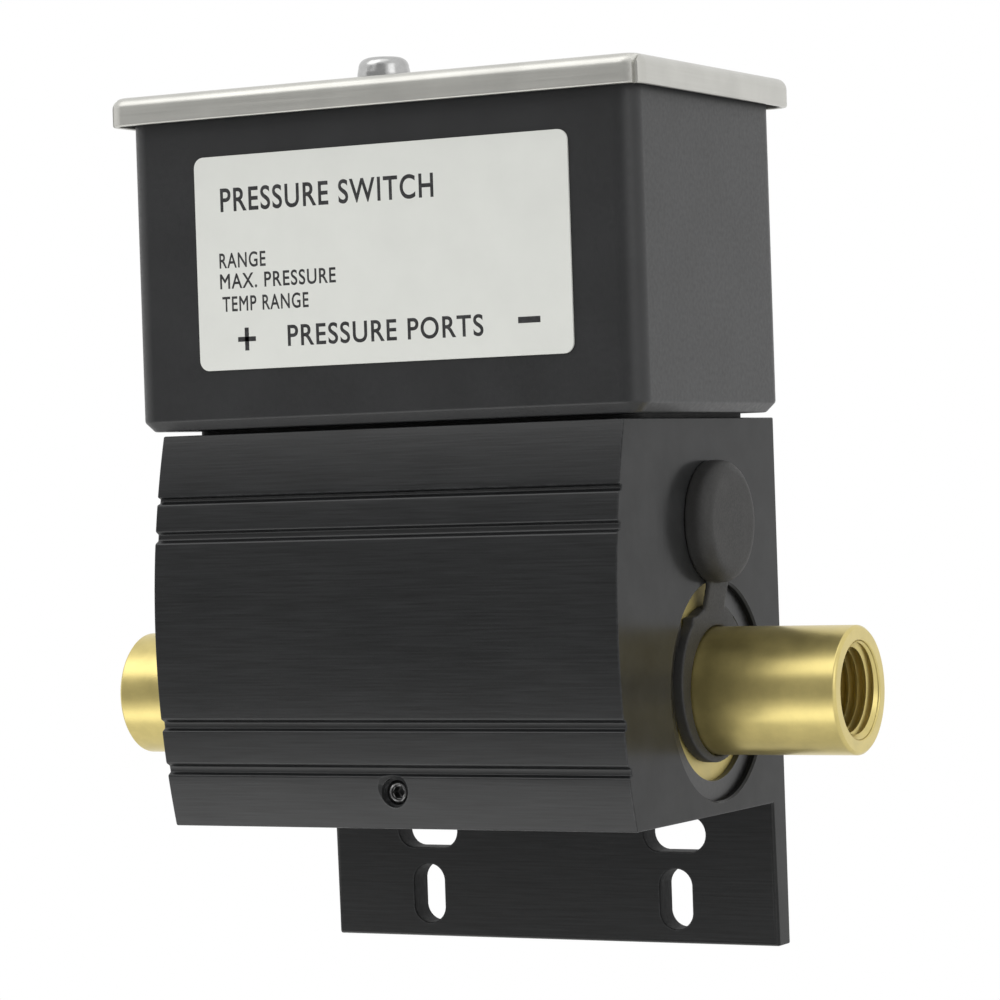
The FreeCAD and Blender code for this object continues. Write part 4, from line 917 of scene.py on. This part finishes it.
class SWITCH_OT_housing(bpy.types.Operator):
    """Cast housing with its cavity, cover posts and threaded conduit entry"""

    bl_idname = "pressure_switch.housing"
    bl_label = "Switch housing"

    def execute(self, context):
        sizes = context.scene.switch_sizes
        low, high = HOUSING_LOW, HOUSING_HIGH
        housing = rounded_block("housing_cast", low, high, sizes.housing_corner, 12)
        pick(housing, "EDGE", level(low.z))
        bevel(sizes.housing_foot, 1)
        close_mesh()
        break_edges(housing, 0.00025)
        wall, floor = sizes.housing_wall, low.z + sizes.housing_floor
        cavity = rounded_block("cavity", (low.x + wall, low.y + wall, floor),
                               (high.x - wall, high.y - wall, high.z + OVER), 0.0015, 6)
        close_mesh()
        cut(housing, cavity)
        axis = Vector((0, (low.y + high.y) / 2, (floor + high.z) / 2))
        start, end, radius, edge = low.x + wall / 2, low.x + 0.013, 0.0135, 0.0005
        boss = turn("conduit_boss", axis, "X", [
            (start, 0), (start, radius), (end - edge, radius), (end, radius - edge), (end, 0)], 96)
        posts = [rod("post", (0, y, 0), "Z", floor - OVER, high.z, 0.0045, 48) for y in POSTS]
        cut(housing, boss, *posts, operation="UNION")
        root, crest = sizes.conduit_root, sizes.conduit_crest
        entry = turn("conduit_entry", axis, "X", [
            (low.x - OVER, 0), (low.x - OVER, root + edge + OVER), (low.x + edge, root), (end + OVER, root),
            (end + OVER, 0)], 96)
        holes = [rod("tapped_hole", (0, y, 0), "Z", 0.0798, high.z + OVER, 0.00212, 32) for y in POSTS]
        cut(housing, entry, lever_way(low.z - OVER, floor + OVER), *holes)
        clean(housing)
        ridge = wind_thread("conduit_thread", crest, root, sizes.conduit_pitch, 8)
        carry(ridge, axis + Vector((low.x - 0.0012, 0, 0)))
        past, aside = 0.004, Vector((0, 0.02, 0.02))
        cone = turn("entry_cone", axis, "X", [
            (low.x - past, 0), (low.x - past, root + edge + past), (low.x + root + edge, 0)], 96)
        tail = block("thread_tail", axis - aside + Vector((end - 0.0004, 0, 0)),
                     axis + aside + Vector((end + 0.01, 0, 0)))
        cut(ridge, cone, tail)
        clean(ridge)
        join(housing, ridge)
        dress(housing, satin_coat(context.scene.switch_colours))
        smooth(housing)
        settle(housing, "switch_body", "housing_coat", "housing")
        return {"FINISHED"}


class SWITCH_OT_lid(bpy.types.Operator):
    """Folded stainless lid with bent top edges, corner seams and a rounded hem"""

    bl_idname = "pressure_switch.lid"
    bl_label = "Stainless lid"

    def execute(self, context):
        sizes = context.scene.switch_sizes
        low, high, sheet, bend = LID_LOW, LID_HIGH, sizes.lid_sheet, sizes.lid_bend
        top, steps = high.z - bend, 8
        lid = rounded_block("lid_folded", low, (high.x, high.y, top), sizes.lid_corner, 12)
        pick(lid, "FACE", lambda face: face.normal.z > 0.9 and face.calc_center_median().z > top - NEAR)
        for step in range(steps):
            here, there = math.pi / 2 * step / steps, math.pi / 2 * (step + 1) / steps
            bpy.ops.mesh.inset(thickness=bend * (math.cos(here) - math.cos(there)),
                               depth=bend * (math.sin(there) - math.sin(here)), use_even_offset=True)
        close_mesh()
        room = rounded_block("lid_room", (low.x + sheet, low.y + sheet, low.z - OVER),
                             (high.x - sheet, high.y - sheet, high.z - sheet), sizes.lid_corner - sheet, 12)
        close_mesh()
        cut(lid, room)
        open_mesh(lid)
        pick(lid, "EDGE", level(low.z))
        bevel(0.00032, 4)
        close_mesh()
        self.cut_seams(lid, sizes)
        for y in POSTS:
            cut(lid, rod("screw_hole", (0, y, 0), "Z", high.z - 0.002, high.z + OVER, 0.0023, 32))
        open_mesh(lid)
        weld(0.00001)
        close_mesh()
        colours = context.scene.switch_colours
        dress(lid, satin_stainless(colours, "satin_stainless_long", (40, 2600, 2600)),
              satin_stainless(colours, "satin_stainless_side", (2600, 40, 2600)))
        paint(lid, 1, lambda face: abs(face.normal.x) > 0.7)
        smooth(lid)
        settle(lid, "switch_body", "stainless", "lid")
        return {"FINISHED"}

    def cut_seams(self, lid, sizes):
        """A fine upright seam in each corner, opening into a V where the bends meet."""
        radius, up = sizes.lid_corner, Vector((0, 0, 1))
        bottom, top = up * (LID_LOW.z - OVER), up * LID_HIGH.z
        for sx in (-1, 1):
            for sy, y in ((-1, LID_LOW.y + radius), (1, LID_HIGH.y - radius)):
                out = Vector((sx, sy, 0)).normalized()
                side = Vector((-out.y, out.x, 0))
                surface = Vector(((LID_HIGH.x - radius) * sx, y, 0)) + out * radius
                seam = [surface - out * 0.00045, surface + out * 0.0006 + side * 0.0011,
                        surface + out * 0.0006 - side * 0.0011]
                cut(lid, prism("seam", [p + bottom for p in seam], (0, 0, 0.007)))
                mouth = surface + top + out * 0.001
                notch = [mouth - up * 0.00165, mouth + side * 0.0013 + up * 0.0004,
                         mouth - side * 0.0013 + up * 0.0004]
                cut(lid, prism("notch", notch, -out * 0.00185))
        break_edges(lid, 0.00028, 3, 24)


class SWITCH_OT_cover_screws(bpy.types.Operator):
    """Pan head screws that hold the lid"""

    bl_idname = "pressure_switch.cover_screws"
    bl_label = "Cover screws"

    def execute(self, context):
        base, top = LID_HIGH.z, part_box("cover_screws")[1].z
        front, up = Vector((0, POSTS[0], 0)), Vector((0, 0, 1))
        shank, tip, brim, dome, steps = 0.0021, 0.0802, 0.00215, 0.0015, 8
        outline = [(tip, 0), (tip, shank - 0.0003), (tip + 0.0004, shank), (base, shank), (base, 0.0037),
                   (base + 0.0001, 0.00388), (base + 0.0005, 0.00394), (base + 0.0009, 0.00390)]
        for step in range(steps + 1):
            angle = math.pi / 2 * step / steps
            outline.append((top - dome + dome * math.sin(angle), brim + 0.0016 * math.cos(angle)))
        outline.append((top, 0))
        screw = turn("cover_screw_front", front, "Z", outline, 72)
        floor, mouth = front + up * (top - 0.0016), front + up * (top + 0.0002)
        for arm, side in ((Vector((1, 0, 0)), Vector((0, 1, 0))), (Vector((0, 1, 0)), Vector((-1, 0, 0)))):
            wedge = [floor - arm * 0.0005, floor + arm * 0.0005, mouth + arm * 0.0015, mouth - arm * 0.0015]
            cut(screw, prism("recess", [p - side * 0.0003 for p in wedge], side * 0.0006))
        dress(screw, screw_stainless(context.scene.switch_colours))
        smooth(screw, 30)
        rear = copy_of(screw, "cover_screw_rear")
        carry(rear, (0, POSTS[1] - POSTS[0], 0))
        settle(screw, "switch_body", "stainless", "cover_screws")
        settle(rear, "switch_body", "stainless", "cover_screws")
        return {"FINISHED"}


class SWITCH_OT_label(bpy.types.Operator):
    """Label plate with generic captions"""

    bl_idname = "pressure_switch.label"
    bl_label = "Label"

    def execute(self, context):
        sizes = context.scene.switch_sizes
        low, high = LABEL_LOW, LABEL_HIGH
        plate = block("label_plate", low, high)
        bpy.ops.object.mode_set(mode="EDIT")
        pick(plate, "EDGE", lambda edge: abs(edge.verts[0].co.y - edge.verts[1].co.y) > 1e-5)
        bevel(sizes.label_corner, 8)
        pick(plate, "EDGE", lambda edge: all(abs(v.co.y - low.y) < NEAR for v in edge.verts))
        bevel(0.00006, 2)
        close_mesh()
        colours = context.scene.switch_colours
        dress(plate, label_film(colours))
        smooth(plate)
        settle(plate, "switch_body", "label", "label")

        words = (("PRESSURE SWITCH", 0.0045, 0.0737, 0.0036, 0.0365),
                 ("RANGE", 0.0040, 0.0653, 0.0023, 0.0081),
                 ("MAX. PRESSURE", 0.0040, 0.0622, 0.0023, 0.0201),
                 ("TEMP RANGE", 0.0043, 0.0588, 0.0023, 0.0150),
                 ("PRESSURE PORTS", 0.0155, 0.0532, 0.0032, 0.0330))
        printed = [self.print_line(*word) for word in words]
        for x, z, wide, tall in ((0.0084, 0.0546, 0.0031, 0.0007), (0.0084, 0.0546, 0.0007, 0.0034),
                                 (0.0560, 0.0552, 0.0036, 0.0009)):
            printed.append(block("bar", (low.x + x - wide / 2, low.y - 0.00002, z - tall / 2),
                                 (low.x + x + wide / 2, low.y + 0.00005, z + tall / 2)))
        ink = printed[0]
        join(ink, *printed[1:])
        ink.name = "label_print"
        dress(ink, label_ink(colours))
        settle(ink, "switch_body", "label")
        return {"FINISHED"}

    def print_line(self, text, left, base, tall, wide):
        """A line of lettering made mesh, fitted to its height and length on the label's face."""
        deselect()
        bpy.ops.object.text_add(location=(0, 0, 0), rotation=(math.pi / 2, 0, 0))
        line = bpy.context.object
        line.data.body = text
        line.data.size = 0.01
        line.data.space_character = 1.12
        line.data.bevel_depth = 0.00016
        line.data.bevel_resolution = 0
        bpy.ops.object.convert(target="MESH")
        line = bpy.context.object
        fix_place()
        xs = [v.co.x for v in line.data.vertices]
        zs = [v.co.z for v in line.data.vertices]
        line.scale = (wide / (max(xs) - min(xs)), 0.1, tall / (max(zs) - min(zs)))
        line.location = (LABEL_LOW.x + left - min(xs) * line.scale.x, LABEL_LOW.y,
                         base - min(zs) * line.scale.z)
        fix_place()
        clean(line)
        return line


class SWITCH_OT_range_spring(bpy.types.Operator):
    """Range spring between the lever and the spring seat"""

    bl_idname = "pressure_switch.range_spring"
    bl_label = "Range spring"

    def execute(self, context):
        low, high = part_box("range_spring")
        wire, coil, turns, steps = 0.00065, 0.00415, 4, 16
        start = Vector((low.x + wire + 0.0002, PLUG_AXIS.y, PLUG_AXIS.z))
        end = Vector((high.x - wire, PLUG_AXIS.y, PLUG_AXIS.z))
        angles = [math.tau * step / steps for step in range(steps)]
        outline = [(wire * math.cos(angle), 0, coil + wire * math.sin(angle)) for angle in angles]
        spring = wind("range_spring_coiled", outline, (end.x - start.x) / turns, turns)
        carry(spring, start)
        dress(spring, spring_wire())
        smooth(spring)
        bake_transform(spring)
        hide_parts("range_spring")
        return {"FINISHED"}


class SWITCH_OT_inner_finishes(bpy.types.Operator):
    """Finishes for the CAD nodes that stay as they are"""

    bl_idname = "pressure_switch.inner_finishes"
    bl_label = "Inner finishes"

    def execute(self, context):
        finishes = inner_finishes(context.scene.switch_colours)
        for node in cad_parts.values():
            slot = node.data.materials[0].name
            if slot in finishes and not node.hide_render:
                node.data.materials[0] = finishes[slot]
        return {"FINISHED"}


class SWITCH_OT_stage(bpy.types.Operator):
    """Pale floor, soft light, white surroundings and the camera"""

    bl_idname = "pressure_switch.stage"
    bl_label = "Stage"

    def execute(self, context):
        stage = context.scene.switch_stage
        self.lay_floor(stage)
        self.light(context)
        self.aim(context, stage)
        context.scene.view_settings.view_transform = "Standard"
        return {"FINISHED"}

    def lay_floor(self, stage):
        top, thick = -stage.floor_drop, 0.012
        floor = rounded_block("floor", (-0.6, -0.3, top - thick), (0.6, 0.06, top), 0.03, 12)
        pick(floor, "EDGE", level(top))
        bevel(0.004, 3)
        close_mesh()
        f = Finish("pale_floor", stage.pale, 0.0, 0.6)
        mottle = f.noise(9)
        dress(floor, f.skin(f.tint(mottle, 0.99, 1.01), f.spread(mottle, 0.55, 0.65)))
        smooth(floor)
        card = rounded_block("grey_card", (-1.6, -1.32, -0.7), (1.0, -1.3, 0.95), 0.005, 4)
        close_mesh()
        f = Finish("grey_card", (0.42, 0.42, 0.42), 0.0, 0.8)
        weave = f.noise(30)
        dress(card, f.skin(f.tint(weave, 0.96, 1.04), f.spread(weave, 0.75, 0.85)))
        card.visible_camera = False

    def light(self, context):
        middle = Vector((0, -0.03, 0.03))
        front = Vector((0.05, -0.2, -0.07))
        above = Vector((-0.05, -0.115, 0.5))
        for name, place, target, wide, deep, power in (
                ("softbox_left", (-0.5, -0.75, 1.0), middle, 1.0, 1.0, 4.4),
                ("softbox_right", (1.1, -0.55, 0.45), middle, 0.6, 0.6, 1.2),
                ("softbox_top", (0.05, -0.35, 1.0), front, 0.6, 0.6, 1.0),
                ("light_panel", (-0.05, -0.115, -0.066), above, 0.2, 0.07, 0.052)):
            deselect()
            bpy.ops.object.light_add(type="AREA", location=place)
            lamp = bpy.context.object
            lamp.name = name
            lamp.data.shape = "RECTANGLE"
            lamp.data.size = wide
            lamp.data.size_y = deep
            lamp.data.energy = power
            lamp.visible_camera = False
            lamp.rotation_euler = (target - Vector(place)).to_track_quat("-Z", "Y").to_euler()
        world = bpy.data.worlds.new("white_room")
        context.scene.world = world
        world.use_nodes = True
        tree = NodeTree(world.node_tree)
        tree.nodes.clear()
        rays = tree.nodes.new("ShaderNodeLightPath").outputs
        seen = tree.result("ShaderNodeMath", "ADD", rays["Is Camera Ray"], rays["Is Glossy Ray"])
        shown = tree.result("ShaderNodeMath", "ADD", seen, rays["Is Transmission Ray"])
        strength = tree.node("ShaderNodeMapRange", Value=shown, To_Min=0.9, To_Max=1.0).outputs["Result"]
        white = tree.node("ShaderNodeBackground", Color=(1.0, 1.0, 1.0, 1.0), Strength=strength)
        tree.node("ShaderNodeOutputWorld", Surface=white.outputs["Background"])

    def aim(self, context, stage):
        deselect()
        bpy.ops.object.camera_add()
        camera = bpy.context.object
        camera.name = "photo_camera"
        camera.data.sensor_width = 36.0
        camera.data.lens = stage.lens
        camera.data.clip_start = 0.01
        az, el = stage.azimuth, stage.elevation
        back = Vector((math.sin(az) * math.cos(el), -math.cos(az) * math.cos(el), math.sin(el)))
        right = (-back).cross(Vector((0, 0, 1))).normalized()
        up = right.cross(-back)
        turned = right * math.cos(stage.roll) + up * math.sin(stage.roll)
        risen = up * math.cos(stage.roll) - right * math.sin(stage.roll)
        turn_matrix = Matrix((turned, risen, back)).transposed().to_4x4()
        target = Vector((0.00695, -0.030, 0.02934))
        camera.matrix_world = Matrix.Translation(target + back * stage.distance) @ turn_matrix
        context.scene.camera = camera


OPERATORS = (SWITCH_OT_body, SWITCH_OT_ports, SWITCH_OT_retainers, SWITCH_OT_plug, SWITCH_OT_lock_screw,
             SWITCH_OT_housing, SWITCH_OT_lid, SWITCH_OT_cover_screws, SWITCH_OT_label,
             SWITCH_OT_range_spring, SWITCH_OT_inner_finishes, SWITCH_OT_stage)


class SWITCH_PT_panel(bpy.types.Panel):
    """Pressure switch tools"""

    bl_idname = "SWITCH_PT_panel"
    bl_label = "Pressure Switch"
    bl_space_type = "VIEW_3D"
    bl_region_type = "UI"
    bl_category = "Pressure Switch"

    def draw(self, context):
        column = self.layout.column()
        for operator in OPERATORS:
            column.operator(operator.bl_idname)
        for group in ("switch_sizes", "switch_colours", "switch_stage"):
            box = self.layout.box()
            settings = getattr(context.scene, group)
            for name in settings.__annotations__:
                box.prop(settings, name)


CLASSES = (SwitchSizes, SwitchColours, StageSettings) + OPERATORS + (SWITCH_PT_panel,)


def register():
    for item in CLASSES:
        bpy.utils.register_class(item)
    bpy.types.Scene.switch_sizes = PointerProperty(type=SwitchSizes)
    bpy.types.Scene.switch_colours = PointerProperty(type=SwitchColours)
    bpy.types.Scene.switch_stage = PointerProperty(type=StageSettings)


def unregister():
    del bpy.types.Scene.switch_stage
    del bpy.types.Scene.switch_colours
    del bpy.types.Scene.switch_sizes
    for item in reversed(CLASSES):
        bpy.utils.unregister_class(item)


def main():
    register()
    tools = bpy.ops.pressure_switch
    tools.body()
    tools.ports()
    tools.retainers()
    tools.plug()
    tools.lock_screw()
    tools.housing()
    tools.lid()
    tools.cover_screws()
    tools.label()
    tools.range_spring()
    tools.inner_finishes()
    tools.stage()


if __name__ == "__main__":
    main()
